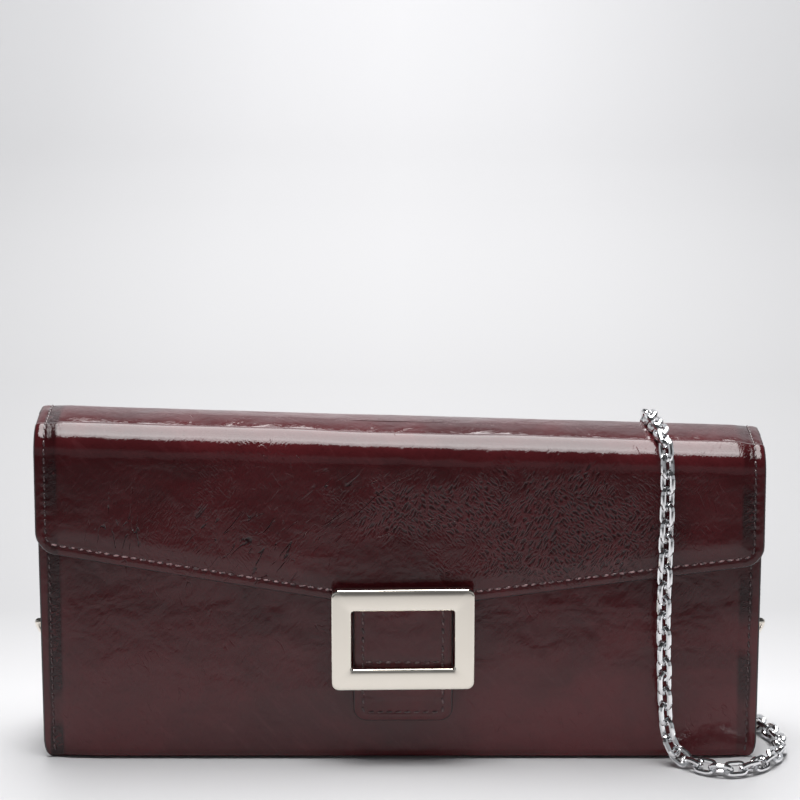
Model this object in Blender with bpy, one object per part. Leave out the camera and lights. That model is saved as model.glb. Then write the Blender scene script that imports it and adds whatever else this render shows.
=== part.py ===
"""Long flap wallet with a frame buckle and a chain strap, in metres, +Z up, the front facing -Y.

The origin is the middle of the base. The outer shell is one run of leather in four panels that fold at
living hinges: front, base with back, flap roof and flap front. Each joint axis lies on its fold.
"""

import math

import bmesh
import bpy
from mathutils import Matrix, Vector

MM = 0.001
GAP = 0.3  # air kept between neighbouring pieces

# Overall size
BODY_W = 193.0
FLAP_W = 195.0
BODY_FRONT = -12.5  # outer face of the front panel
BODY_BACK = 12.5  # outer face of the back panel
ROOF_Z = 90.0
BACK_TOP = 84.2
FRONT_TOP = 81.5
LEATHER = 1.0
FILLER = 0.6
LINING = 0.5

# Folds
BASE_R = 3.0
FRONT_FOLD = (BODY_FRONT + BASE_R, BASE_R)
FLAP_HINGE = (BODY_BACK, 84.5)
BACK_ARC = (7.5, 85.0)
BACK_ARC_R = 5.0
FLAP_FACE = -17.6  # outer face of the flap front
FRONT_ARC_R = 8.0
FRONT_ARC = (FLAP_FACE + FRONT_ARC_R, ROOF_Z - FRONT_ARC_R)

# Lower edge of the flap: a shallow V with round corners
FLAP_SIDE_Z = 57.4
FLAP_POINT_Z = 43.2
FLAP_CORNER_R = 6.0

# Buckle, tab and snap
FRAME_X = 0.8  # the frame and the tab sit a little right of the middle
BUCKLE_W = 38.4
BUCKLE_H = 28.0
BUCKLE_Z = 35.95
BUCKLE_BAR = 5.45  # its upright bars
BUCKLE_RAIL = 6.0  # its long bars
BUCKLE_T = 3.0
BUCKLE_BACK = -19.9
TAB_W = 27.0
TAB_TOP = 47.6
TAB_LOW = 12.2
POST_X = 11.0
POST_Z = 45.6
SNAP_Z = 27.0

# Inside
INSIDE_X = 89.3  # half width of the linings
COIN_X = 85.4
COIN_FRONT = -4.8
COIN_BACK = 4.0
COIN_TOP = 62.0
ZIP_Y = -0.4
SLIDER_X = 72.0
AXLE_Z = 63.7

# Chain strap and its fittings
CHAIN_D = 4.3
RING_X = 91.5
RING_Y = 15.1
RING_Z = 31.0
RING_DROP = 10.0
RING_HALF = 9.3  # half its width, so that it shows past the end of the body
RING_TILT = 35.0  # the ring leans back on its clasp
RING_WIRE = 2.0
CLASP_DOWN = (-0.30, 0.38, -0.87)
COIL_AT = (-15.0, 46.5)
COIL_R = 23.3

for old in list(bpy.data.objects):
    bpy.data.objects.remove(old, do_unlink=True)


def material(name, colour, metallic, roughness):
    made = bpy.data.materials.new(name)
    made.use_nodes = True
    made.diffuse_color = (*colour, 1.0)
    shader = made.node_tree.nodes["Principled BSDF"]
    shader.inputs["Base Color"].default_value = (*colour, 1.0)
    shader.inputs["Metallic"].default_value = metallic
    shader.inputs["Roughness"].default_value = roughness
    return made


LOOKS = {
    "patent_leather": ((0.070, 0.024, 0.026), 0.0, 0.18),
    "lining": ((0.035, 0.012, 0.014), 0.0, 0.75),
    "board": ((0.30, 0.25, 0.20), 0.0, 0.9),
    "nickel": ((0.72, 0.70, 0.66), 1.0, 0.15),
    "silver_chain": ((0.80, 0.80, 0.82), 1.0, 0.2),
    "zip_tape": ((0.045, 0.015, 0.018), 0.0, 0.85),
}


def finish(obj, name, look):
    """Names the piece and gives it a material of its own."""
    obj.name = name
    obj.data.name = name
    obj.data.materials.clear()
    obj.data.materials.append(material(f"{look}.{name}", *LOOKS[look]))
    return obj


def mesh_object(name, points, faces):
    mesh = bpy.data.meshes.new(name)
    mesh.from_pydata([Vector(p) * MM for p in points], [], faces)
    shape = bmesh.new()
    shape.from_mesh(mesh)
    bmesh.ops.recalc_face_normals(shape, faces=shape.faces)
    shape.to_mesh(mesh)
    shape.free()
    obj = bpy.data.objects.new(name, mesh)
    bpy.context.scene.collection.objects.link(obj)
    return obj


def prism(name, outline, low, high, axis):
    """Extrudes a closed outline along one axis. The outline gives the other two, in x, y, z order."""
    def placed(pair, level):
        point = list(pair)
        point.insert(axis, level)
        return point

    count = len(outline)
    points = [placed(p, low) for p in outline] + [placed(p, high) for p in outline]
    faces = [tuple(range(count)), tuple(range(count, 2 * count))]
    for i in range(count):
        j = (i + 1) % count
        faces.append((i, j, count + j, count + i))
    return mesh_object(name, points, faces)


def box(name, low, high):
    outline = [(low[0], low[1]), (high[0], low[1]), (high[0], high[1]), (low[0], high[1])]
    return prism(name, outline, low[2], high[2], 2)


def arc(centre, radius, start, end, steps):
    """Points on an arc, angles in degrees."""
    found = []
    for i in range(steps + 1):
        angle = math.radians(start + (end - start) * i / steps)
        found.append((centre[0] + radius * math.cos(angle), centre[1] + radius * math.sin(angle)))
    return found


def ribbon(path, inner, outer):
    """The outline of a strip that follows a path, from one offset on its left to another."""
    def shifted(offset):
        found = []
        for i, point in enumerate(path):
            before = path[max(i - 1, 0)]
            after = path[min(i + 1, len(path) - 1)]
            into = Vector((point[0] - before[0], point[1] - before[1]))
            out = Vector((after[0] - point[0], after[1] - point[1]))
            into = (into if i else out).normalized()
            out = (out if i < len(path) - 1 else into).normalized()
            normal = Vector((-into.y - out.y, into.x + out.x)).normalized()
            reach = offset / max(normal.dot(Vector((-into.y, into.x))), 0.5)
            found.append((point[0] + normal.x * reach, point[1] + normal.y * reach))
        return found

    return shifted(inner) + shifted(outer)[::-1]


def rounded(low, high, radius, steps=4):
    """A rectangle with round corners, as an outline."""
    found = []
    corners = (
        (high[0] - radius, high[1] - radius, 0),
        (low[0] + radius, high[1] - radius, 90),
        (low[0] + radius, low[1] + radius, 180),
        (high[0] - radius, low[1] + radius, 270),
    )
    for x, y, start in corners:
        found += arc((x, y), radius, start, start + 90, steps)
    return found


def combine(obj, other, operation):
    """Applies one Boolean and drops the other mesh."""
    cut = obj.modifiers.new(operation, "BOOLEAN")
    cut.operation = operation
    cut.solver = "EXACT"
    cut.object = other
    graph = bpy.context.evaluated_depsgraph_get()
    result = bpy.data.meshes.new_from_object(obj.evaluated_get(graph))
    obj.modifiers.clear()
    obj.data = result
    bpy.data.objects.remove(other, do_unlink=True)
    return obj


def disc(name, centre, radius, low, high, axis, steps=28):
    """A cylinder whose axis is x, y or z. centre gives the other two coordinates."""
    return prism(name, arc(centre, radius, 0, 360 - 360 / steps, steps - 1), low, high, axis)


def edge_round(obj, width, segments=2, angle=40):
    """Rounds the sharp edges, as on a cast or polished piece."""
    bevel = obj.modifiers.new("edges", "BEVEL")
    bevel.width = width * MM
    bevel.segments = segments
    bevel.limit_method = "ANGLE"
    bevel.angle_limit = math.radians(angle)
    return obj


# ---- outer shell -------------------------------------------------------------------------------------

half_body = BODY_W / 2
half_flap = FLAP_W / 2

back_path = [(BODY_BACK, BACK_TOP), (BODY_BACK, BASE_R)]
back_path += arc((BODY_BACK - BASE_R, BASE_R), BASE_R, 0, -90, 5)[1:]
back_path += [(BODY_FRONT + BASE_R + 0.9, 0.0)]
back = prism("shell_back", ribbon(back_path, 0.0, -LEATHER), -half_body, half_body, 0)
finish(back, "shell_back", "patent_leather")

front_path = arc(FRONT_FOLD, BASE_R, 270, 180, 5) + [(BODY_FRONT, FRONT_TOP)]
front = prism("shell_front", ribbon(front_path, 0.0, -LEATHER), -half_body, half_body, 0)
combine(front, disc("stem", (0.0, SNAP_Z), 1.8, -16.0, -8.0, 1, 20), "DIFFERENCE")
finish(front, "shell_front", "patent_leather")

roof_path = [(BODY_BACK, FLAP_HINGE[1] + 0.3)] + arc(BACK_ARC, BACK_ARC_R, 0, 90, 6)
roof_path += arc(FRONT_ARC, FRONT_ARC_R, 90, 134, 4)
roof = prism("flap_roof", ribbon(roof_path, 0.0, LEATHER), -half_flap, half_flap, 0)
finish(roof, "flap_roof", "patent_leather")
roof_lining = prism(
    "flap_roof_lining", ribbon(roof_path, 1.3, 1.8), -half_flap + 0.3, half_flap - 0.3, 0
)
finish(roof_lining, "flap_roof_lining", "lining")


def flap_outline(inset):
    """The flap front as seen from the front: straight sides, round lower corners and a V point."""
    side = half_flap - inset
    slope = (FLAP_SIDE_Z - FLAP_POINT_Z) / half_flap
    low = FLAP_POINT_Z + inset * math.hypot(1, slope)
    radius = FLAP_CORNER_R - inset
    tilt = math.degrees(math.atan(slope))
    centre_x = side - radius
    centre_z = low + slope * centre_x + radius * math.hypot(1, slope)
    right = [(side, 95.0)] + arc((centre_x, centre_z), radius, 0, -90 + tilt, 5)
    return right + [(0.0, low)] + [(-x, z) for x, z in reversed(right)]


drop_path = arc(FRONT_ARC, FRONT_ARC_R, 136, 180, 4) + [(FLAP_FACE, 40.0)]


def flap_layer(name, near, far, inset, path):
    layer = prism(name, ribbon(path, near, far), -half_flap - 2, half_flap + 2, 0)
    return combine(layer, prism("outline", flap_outline(inset), -30.0, 5.0, 1), "INTERSECT")


def post_holes(obj, radius, low, high):
    for x in (FRAME_X - POST_X, FRAME_X + POST_X):
        combine(obj, disc("hole", (x, POST_Z), radius, low, high, 1, 20), "DIFFERENCE")
    return obj


flap = flap_layer("flap_front", 0.0, LEATHER, 0.0, drop_path)
finish(post_holes(flap, 1.6, -18.5, -16.0), "flap_front", "patent_leather")
flap_filler = flap_layer("flap_filler", 1.3, 2.1, 5.0, [(FLAP_FACE, 79.0), (FLAP_FACE, 40.0)])
window = box("window", (-17.0, -17.0, 40.0), (17.0, -15.0, 51.5))
finish(combine(flap_filler, window, "DIFFERENCE"), "flap_filler", "board")
flap_lining = flap_layer("flap_front_lining", 2.4, 2.9, 0.3, drop_path)
finish(flap_lining, "flap_front_lining", "lining")

# ---- buckle, tab and snap ----------------------------------------------------------------------------

frame_low = (FRAME_X - BUCKLE_W / 2, BUCKLE_Z - BUCKLE_H / 2)
frame_high = (FRAME_X + BUCKLE_W / 2, BUCKLE_Z + BUCKLE_H / 2)
frame = prism(
    "buckle_frame",
    rounded(frame_low, frame_high, 2.0),
    BUCKLE_BACK - BUCKLE_T,
    BUCKLE_BACK,
    1,
)
opening = rounded(
    (frame_low[0] + BUCKLE_BAR, frame_low[1] + BUCKLE_RAIL),
    (frame_high[0] - BUCKLE_BAR, frame_high[1] - BUCKLE_RAIL),
    0.8,
    2,
)
combine(frame, prism("opening", opening, -30.0, -10.0, 1), "DIFFERENCE")
edge_round(frame, 0.8, 2, 60)
graph = bpy.context.evaluated_depsgraph_get()
frame.data = bpy.data.meshes.new_from_object(frame.evaluated_get(graph))
frame.modifiers.clear()
for x in (FRAME_X - POST_X, FRAME_X + POST_X):
    combine(frame, disc("post", (x, POST_Z), 1.3, BUCKLE_BACK - 1.0, -16.45, 1, 20), "UNION")
    combine(frame, disc("bore", (x, POST_Z), 0.7, -20.4, -16.0, 1, 16), "DIFFERENCE")
finish(frame, "buckle_frame", "nickel")

plate = prism("buckle_plate", rounded((FRAME_X - 15.5, 43.0), (FRAME_X + 15.5, 50.0), 1.2, 2), -16.3, -15.9, 1)
for x in (FRAME_X - POST_X, FRAME_X + POST_X):
    combine(plate, disc("hole", (x, POST_Z), 0.8, -17.0, -15.0, 1, 16), "DIFFERENCE")
finish(plate, "buckle_plate", "nickel")

for side, x in (("left", FRAME_X - POST_X), ("right", FRAME_X + POST_X)):
    screw = disc("screw", (x, POST_Z), 1.7, -15.8, -15.45, 1, 20)
    combine(screw, disc("shank", (x, POST_Z), 0.55, -19.6, -15.6, 1, 16), "UNION")
    finish(screw, f"buckle_screw_{side}", "nickel")

tab_path = [(-19.7, TAB_TOP), (-19.7, 20.0), (-19.4, 16.0), (-18.8, TAB_LOW)]


def tab_layer(name, near, far, inset):
    layer = prism(name, ribbon(tab_path, near, far), -TAB_W / 2 - 2, TAB_W / 2 + 2, 0)
    half = TAB_W / 2 - inset
    shape = [(half, 60.0)] + arc((half - 3.4, TAB_LOW + 3.6), 3.2, 0, -90, 5)
    shape += [(-x, z) for x, z in reversed(shape)]
    shape = [(FRAME_X + x, z) for x, z in shape]
    return combine(layer, prism("outline", shape, -30.0, 5.0, 1), "INTERSECT")


tab = tab_layer("tab", 0.0, LEATHER, 0.0)
finish(post_holes(tab, 1.6, -20.5, -18.0), "tab", "patent_leather")
tab_back = post_holes(tab_layer("tab_lining", 1.2, 1.7, 0.2), 1.6, -19.0, -17.0)
combine(tab_back, disc("stem", (0.0, SNAP_Z), 1.3, -19.5, -17.0, 1, 20), "DIFFERENCE")
finish(tab_back, "tab_lining", "lining")

male = disc("snap_male", (0.0, SNAP_Z), 6.2, -17.75, -16.35, 1)
combine(male, disc("boss", (0.0, SNAP_Z), 2.3, -16.6, -15.0, 1, 20), "UNION")
combine(male, disc("stem", (0.0, SNAP_Z), 1.0, -18.55, -17.5, 1, 16), "UNION")
finish(male, "snap_male", "nickel")
female = disc("snap_female", (0.0, SNAP_Z), 7.0, -16.0, BODY_FRONT - 0.2, 1)
combine(female, disc("socket", (0.0, SNAP_Z), 3.5, -17.0, -14.7, 1, 24), "DIFFERENCE")
combine(female, disc("stem", (0.0, SNAP_Z), 1.5, -13.5, -11.35, 1, 20), "UNION")
finish(female, "snap_female", "nickel")
washer = disc("snap_washer", (0.0, SNAP_Z), 6.5, -11.2, -10.75, 1)
finish(washer, "snap_washer", "nickel")

# ---- front and back layers ---------------------------------------------------------------------------

front_filler = box("front_filler", (-90.5, -11.2, 4.5), (90.5, -10.6, 80.5))
combine(front_filler, disc("window", (0.0, SNAP_Z), 8.0, -12.0, -10.0, 1), "DIFFERENCE")
finish(front_filler, "front_filler", "board")
finish(box("front_lining", (-INSIDE_X, -10.3, 3.6), (INSIDE_X, -9.8, 81.2)), "front_lining", "lining")
finish(box("back_filler", (-90.5, 10.6, 4.5), (90.5, 11.2, 83.0)), "back_filler", "board")
finish(box("back_lining", (-INSIDE_X, 9.8, 2.6), (INSIDE_X, 10.3, 83.8)), "back_lining", "lining")
finish(box("base_lining", (-INSIDE_X, -7.8, 1.3), (INSIDE_X, 9.5, 1.8)), "base_lining", "lining")

# ---- gussets: a W fold at each end, its outer legs sewn inside the edges of the panels ------------------

REAR_FOLD = [(96.0, 10.9), (91.6, 10.9), (87.2, 5.3), (93.6, 0.6)]
for side, sign in (("left", -1), ("right", 1)):
    for part_of, flip in (("rear", 1), ("front", -1)):
        fold = [(sign * x, flip * y) for x, y in REAR_FOLD]
        name = f"gusset_{side}_{part_of}"
        piece = prism(name, ribbon(fold, -0.35, 0.35), 3.4, 79.5, 2)
        finish(piece, name, "patent_leather")

# ---- card pockets on the back lining: three leaves, each with raised seams and a middle divider ---------

CARD_X = 84.6
for level, (name, top) in enumerate((("upper", 75.0), ("middle", 66.0), ("lower", 57.0))):
    outer = 9.5 - 1.45 * level
    leaf = box("leaf", (-CARD_X, outer - 1.15, 3.0), (CARD_X, outer, top))
    for low_x, high_x in ((-CARD_X + 3.5, -1.5), (1.5, CARD_X - 3.5)):
        slot = box("slot", (low_x, outer - 0.7, 7.0 + 6.0 * (2 - level)), (high_x, outer + 1, top + 1))
        combine(leaf, slot, "DIFFERENCE")
    finish(leaf, f"card_leaf_{name}", "lining")

# ---- coin pocket and zip -----------------------------------------------------------------------------

coin_front = box("w", (-COIN_X, COIN_FRONT, 2.2), (COIN_X, COIN_FRONT + 0.8, COIN_TOP))
finish(coin_front, "coin_wall_front", "patent_leather")
coin_back = box("w", (-COIN_X, COIN_BACK - 0.8, 2.2), (COIN_X, COIN_BACK, COIN_TOP))
finish(coin_back, "coin_wall_back", "patent_leather")
coin_low = (-COIN_X + 0.2, COIN_FRONT + 1.1, 2.4)
coin_high = (COIN_X - 0.2, COIN_BACK - 1.1, 58.5)
coin_bag = box("w", coin_low, coin_high)
inside = box("i", (-COIN_X + 1.0, -20.0, 3.2), (COIN_X - 1.0, 20.0, 70.0))
finish(combine(coin_bag, inside, "DIFFERENCE"), "coin_side_strip", "lining")

for name, near, far, tooth_near, tooth_far in (
    ("front", COIN_FRONT + 1.1, ZIP_Y - 1.6, ZIP_Y - 1.5, ZIP_Y - 0.35),
    ("back", ZIP_Y + 1.6, COIN_BACK - 1.1, ZIP_Y + 0.35, ZIP_Y + 1.5),
):
    tape = box("t", (-84.0, near, 60.3), (84.0, far, 60.8))
    finish(tape, f"zip_tape_{name}", "zip_tape")
    teeth = box("t", (-80.0, tooth_near, 59.8), (80.0, tooth_far, 61.4))
    finish(teeth, f"zip_teeth_{name}", "nickel")

slider = prism("s", rounded((-4.5, ZIP_Y - 3.0), (4.5, ZIP_Y + 3.0), 1.6, 3), 61.7, 62.5, 2)
lower = prism("s", rounded((-4.5, ZIP_Y - 3.0), (4.5, ZIP_Y + 3.0), 1.6, 3), 58.7, 59.5, 2)
combine(slider, box("s", (-1.5, ZIP_Y - 0.2, 59.2), (1.5, ZIP_Y + 0.2, 62.0)), "UNION")
combine(slider, lower, "UNION")
bridge = prism(
    "s",
    [(-3.4, 62.2), (-3.4, 63.9), (-2.6, 65.2), (2.6, 65.2), (3.4, 63.9), (3.4, 62.2),
     (2.6, 62.2), (2.6, 63.7), (2.0, 64.5), (-2.0, 64.5), (-2.6, 63.7), (-2.6, 62.2)],
    ZIP_Y - 0.7,
    ZIP_Y + 0.7,
    1,
)
combine(slider, bridge, "UNION")
slider.data.transform(Matrix.Translation((SLIDER_X * MM, 0, 0)))
finish(slider, "zip_slider", "nickel")

puller = prism("p", rounded((-16.0, ZIP_Y - 2.3), (1.05, ZIP_Y + 2.3), 0.9, 3), AXLE_Z - 0.4, AXLE_Z + 0.4, 2)
slot = prism("p", rounded((-5.5, ZIP_Y - 1.1), (0.4, ZIP_Y + 1.1), 0.4, 2), 60.0, 70.0, 2)
combine(puller, slot, "DIFFERENCE")
combine(puller, disc("p", (0.0, AXLE_Z), 0.45, ZIP_Y - 1.6, ZIP_Y + 1.6, 1, 12), "UNION")
puller.data.transform(Matrix.Translation((SLIDER_X * MM, 0, 0)))
finish(puller, "zip_puller", "nickel")

# ---- chain fittings on the back ------------------------------------------------------------------------

CHAPE_PATH = [(13.35, 43.0), (13.35, RING_Z)]
CHAPE_PATH += arc((RING_Y, RING_Z), RING_Y - 13.35, 180, 360, 8)[1:]
CHAPE_PATH += [(16.6, 33.5), (14.75, 36.5), (14.75, 43.0)]


def tube(name, points, width, sides, closed):
    """A round bar along a line of points."""
    line = bpy.data.curves.new(name, "CURVE")
    line.dimensions = "3D"
    line.bevel_depth = width / 2 * MM
    line.bevel_resolution = sides
    line.use_fill_caps = not closed
    spline = line.splines.new("POLY")
    spline.points.add(len(points) - 1)
    spline.use_cyclic_u = closed
    for spot, point in zip(spline.points, points):
        spot.co = (*(Vector(point) * MM), 1.0)
    obj = bpy.data.objects.new(name, line)
    bpy.context.scene.collection.objects.link(obj)
    return obj


HOOK_OUT = [
    (6.0, 4.6), (4.0, 4.6), (1.9, 3.6), (0.5, 1.8), (0.2, 0.0), (0.5, -1.8), (1.9, -3.6), (4.0, -4.6),
    (8.0, -4.6), (12.0, -4.0), (16.0, -3.3), (19.5, -2.6), (21.4, -2.3), (21.4, 2.3), (19.5, 2.6),
    (16.0, 3.4), (12.8, 4.0), (12.8, 1.4), (11.4, 0.2), (9.8, -1.6), (7.6, -2.6), (4.8, -2.6),
    (3.0, -1.6), (2.3, 0.0), (3.0, 1.6), (4.4, 2.7), (6.0, 2.9),
]
GATE = [(6.3, 2.9), (12.0, 1.6), (14.8, 2.2), (14.8, 4.2), (14.0, 6.2), (12.6, 6.4), (11.8, 4.4), (6.3, 4.4)]
GATE_PIVOT = (13.6, 3.0)
WIRE_AT = (4.9, 0.0)

for side, sign in (("left", -1), ("right", 1)):
    low_x, high_x = sorted((sign * (RING_X - 4.0), sign * (RING_X + 4.0)))
    chape = prism("chape", ribbon(CHAPE_PATH, -0.5, 0.5), low_x, high_x, 0)
    finish(chape, f"chape_{side}", "patent_leather")

    half = RING_HALF
    d_line = [(half, 0.0), (half, -RING_DROP + half)]
    d_line += arc((0.0, -RING_DROP + half), half, 0, -180, 12)[1:]
    d_line += [(-half, 0.0)]
    back_lean = math.sin(math.radians(RING_TILT))
    drop_lean = math.cos(math.radians(RING_TILT))
    ring = tube(
        f"ring_{side}",
        [(sign * RING_X + x, RING_Y - z * back_lean, RING_Z + z * drop_lean) for x, z in d_line],
        RING_WIRE,
        2,
        True,
    )
    finish(ring, f"ring_{side}", "nickel")

    down = Vector((sign * CLASP_DOWN[0], CLASP_DOWN[1], CLASP_DOWN[2])).normalized()
    across = (Vector((1, 0, 0)) - down * down.x).normalized()
    up = across.cross(down)
    bow = (RING_Y + RING_DROP * back_lean, RING_Z - RING_DROP * drop_lean)
    at = Vector((sign * RING_X, *bow)) * MM
    place = Matrix.Translation(at) @ Matrix((down, up, across)).transposed().to_4x4()
    place = place @ Matrix.Translation(Vector((-WIRE_AT[0], -WIRE_AT[1], 0)) * MM)

    hook = prism("hook", HOOK_OUT, -1.6, 1.6, 2)
    combine(hook, disc("eye", (24.2, 0.0), 3.3, -1.2, 1.2, 2, 24), "UNION")
    combine(hook, disc("eye", (24.2, 0.0), 1.8, -3.0, 3.0, 2, 20), "DIFFERENCE")
    combine(hook, box("slot", (10.5, 0.6, -0.95), (15.6, 7.0, 0.95)), "DIFFERENCE")
    combine(hook, disc("bore", GATE_PIVOT, 0.6, -3.0, 3.0, 2, 12), "DIFFERENCE")
    gate = prism("gate", GATE, -0.75, 0.75, 2)
    combine(gate, disc("bore", GATE_PIVOT, 0.65, -3.0, 3.0, 2, 12), "DIFFERENCE")
    pin = disc("pin", GATE_PIVOT, 0.45, -1.55, 1.55, 2, 12)
    for piece, name in ((hook, "clasp_hook"), (gate, "clasp_gate"), (pin, "clasp_pin")):
        piece.data.transform(place)
        finish(piece, f"{name}_{side}", "nickel")

# ---- chain strap: one run from the left clasp to the right one, in five lengths --------------------------

LEFT_RUN = [
    (-83.8, 32.2, 2.6), (-81.6, 35.4, 2.4), (-76.0, 39.0, 2.35), (-66.0, 40.0, 2.35),
    (-54.0, 35.5, 2.35), (-45.0, 31.0, 2.35), (-36.4, 25.1, 2.35),
]
BACK_RUN = [
    (-4.6, 18.0, 2.35), (6.0, 20.3, 2.35), (20.0, 22.8, 2.35), (36.0, 24.0, 2.35),
    (50.0, 23.2, 2.35), (59.0, 21.6, 2.35),
]
DRAPE = [
    (60.4, 21.1, 2.5), (63.5, 20.2, 4.4), (65.7, 18.7, 9.6), (66.4, 17.2, 17.0), (66.5, 15.8, 30.0),
    (66.6, 15.2, 50.0), (66.8, 15.2, 68.0), (67.0, 15.2, 82.0), (67.3, 13.4, 89.8), (67.8, 8.0, 92.9),
    (68.5, 0.0, 92.8), (69.3, -8.0, 92.8), (70.2, -15.8, 91.9), (70.8, -20.2, 86.8), (71.0, -20.5, 78.0),
    (70.8, -20.5, 62.0), (70.3, -20.3, 46.0), (69.8, -19.4, 32.0), (69.8, -18.6, 20.0),
    (70.5, -18.6, 11.0), (72.8, -19.8, 5.0), (76.8, -22.0, 2.35),
]
RIGHT_RUN = [
    (77.9, -23.1, 2.35), (81.0, -26.8, 2.35), (86.8, -29.9, 2.35), (92.8, -28.2, 2.35),
    (98.2, -23.1, 2.35), (102.6, -14.4, 2.35), (103.9, -8.0, 2.35), (103.2, 1.0, 2.35),
    (101.2, 7.0, 2.35), (99.3, 14.0, 2.35), (97.8, 24.0, 2.35), (98.6, 36.0, 2.35),
    (96.5, 45.0, 2.35), (90.5, 49.5, 2.35), (83.5, 48.0, 2.35), (79.8, 42.0, 2.35),
    (81.3, 35.9, 2.4), (83.8, 32.2, 2.6),
]


def smooth(route, step):
    """A Catmull-Rom curve through the route, read at points about one step apart."""
    points = [Vector(p) for p in route]
    points = [points[0] * 2 - points[1]] + points + [points[-1] * 2 - points[-2]]
    fine = []
    for before, start, end, after in zip(points, points[1:], points[2:], points[3:]):
        for i in range(16):
            t = i / 16
            straight = start * 2 + (end - before) * t
            bend = (before * 2 - start * 5 + end * 4 - after) * t * t
            turn = (start * 3 - before - end * 3 + after) * t * t * t
            fine.append((straight + bend + turn) / 2)
    fine.append(points[-2])
    length = sum((b - a).length for a, b in zip(fine, fine[1:]))
    every = length / max(round(length / step), 2)
    found = [fine[0]]
    gone = 0.0
    for a, b in zip(fine, fine[1:]):
        gone += (b - a).length
        if gone >= every * len(found) - 1e-6 and len(found) * every < length - every / 2:
            found.append(b)
    return found + [fine[-1]]


for name, route, step in (
    ("chain_left", LEFT_RUN, 11.0),
    ("chain_back", BACK_RUN, 12.0),
    ("chain_drape", DRAPE, 6.6),
    ("chain_right", RIGHT_RUN, 8.6),
):
    finish(tube(name, smooth(route, step), CHAIN_D, 2, False), name, "silver_chain")

COIL_STEPS = 40
section = rounded((COIL_R - 4.5, 0.2), (COIL_R + 4.5, 8.9), 1.8, 3)
points = []
for i in range(COIL_STEPS):
    turn = 2 * math.pi * i / COIL_STEPS
    points += [
        (COIL_AT[0] + r * math.cos(turn), COIL_AT[1] + r * math.sin(turn), z) for r, z in section
    ]
faces = []
for i in range(COIL_STEPS):
    for j in range(len(section)):
        here = i * len(section)
        there = (i + 1) % COIL_STEPS * len(section)
        k = (j + 1) % len(section)
        faces.append((here + j, here + k, there + k, there + j))
finish(mesh_object("chain_coil", points, faces), "chain_coil", "silver_chain")
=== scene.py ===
"""Looks of the long wallet: glossy leather, stitching, polished frame and link chain, on a pale floor."""

import contextlib
import math

import bmesh
import bpy
import numpy as np
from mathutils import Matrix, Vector, noise


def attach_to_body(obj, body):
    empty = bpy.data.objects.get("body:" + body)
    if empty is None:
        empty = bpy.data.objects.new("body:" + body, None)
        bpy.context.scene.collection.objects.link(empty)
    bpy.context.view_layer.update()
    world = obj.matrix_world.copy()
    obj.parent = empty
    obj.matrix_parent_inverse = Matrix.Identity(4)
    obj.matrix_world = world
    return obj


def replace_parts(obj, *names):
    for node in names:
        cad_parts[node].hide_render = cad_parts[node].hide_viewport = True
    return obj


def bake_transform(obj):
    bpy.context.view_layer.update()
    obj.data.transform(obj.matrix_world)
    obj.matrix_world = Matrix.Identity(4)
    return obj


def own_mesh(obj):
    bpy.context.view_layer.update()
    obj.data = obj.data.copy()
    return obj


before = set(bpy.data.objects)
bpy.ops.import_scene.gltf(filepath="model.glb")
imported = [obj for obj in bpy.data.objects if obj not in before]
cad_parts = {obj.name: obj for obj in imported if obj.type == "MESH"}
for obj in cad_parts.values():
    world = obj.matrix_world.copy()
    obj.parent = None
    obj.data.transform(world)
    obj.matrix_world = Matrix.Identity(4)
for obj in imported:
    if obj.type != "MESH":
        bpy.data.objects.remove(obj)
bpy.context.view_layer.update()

MM = 0.001
FAR_AWAY = 99.0  # the distance to an edge that a panel doesn't have, in mm
SLOUCH = 0.335  # how much lower the right end has settled, per metre of length

# ---- camera, floor and light ---------------------------------------------------------------------------

camera_data = bpy.data.cameras.new("camera")
camera_data.lens = 152.6
camera_data.sensor_width = 36.0
camera = bpy.data.objects.new("camera", camera_data)
camera.location = (0.0, -0.895, 0.287)
camera.rotation_euler = (math.radians(78.0), 0.0, 0.0)
bpy.context.scene.collection.objects.link(camera)
bpy.context.scene.camera = camera
bpy.context.scene.view_settings.view_transform = "Standard"


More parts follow.
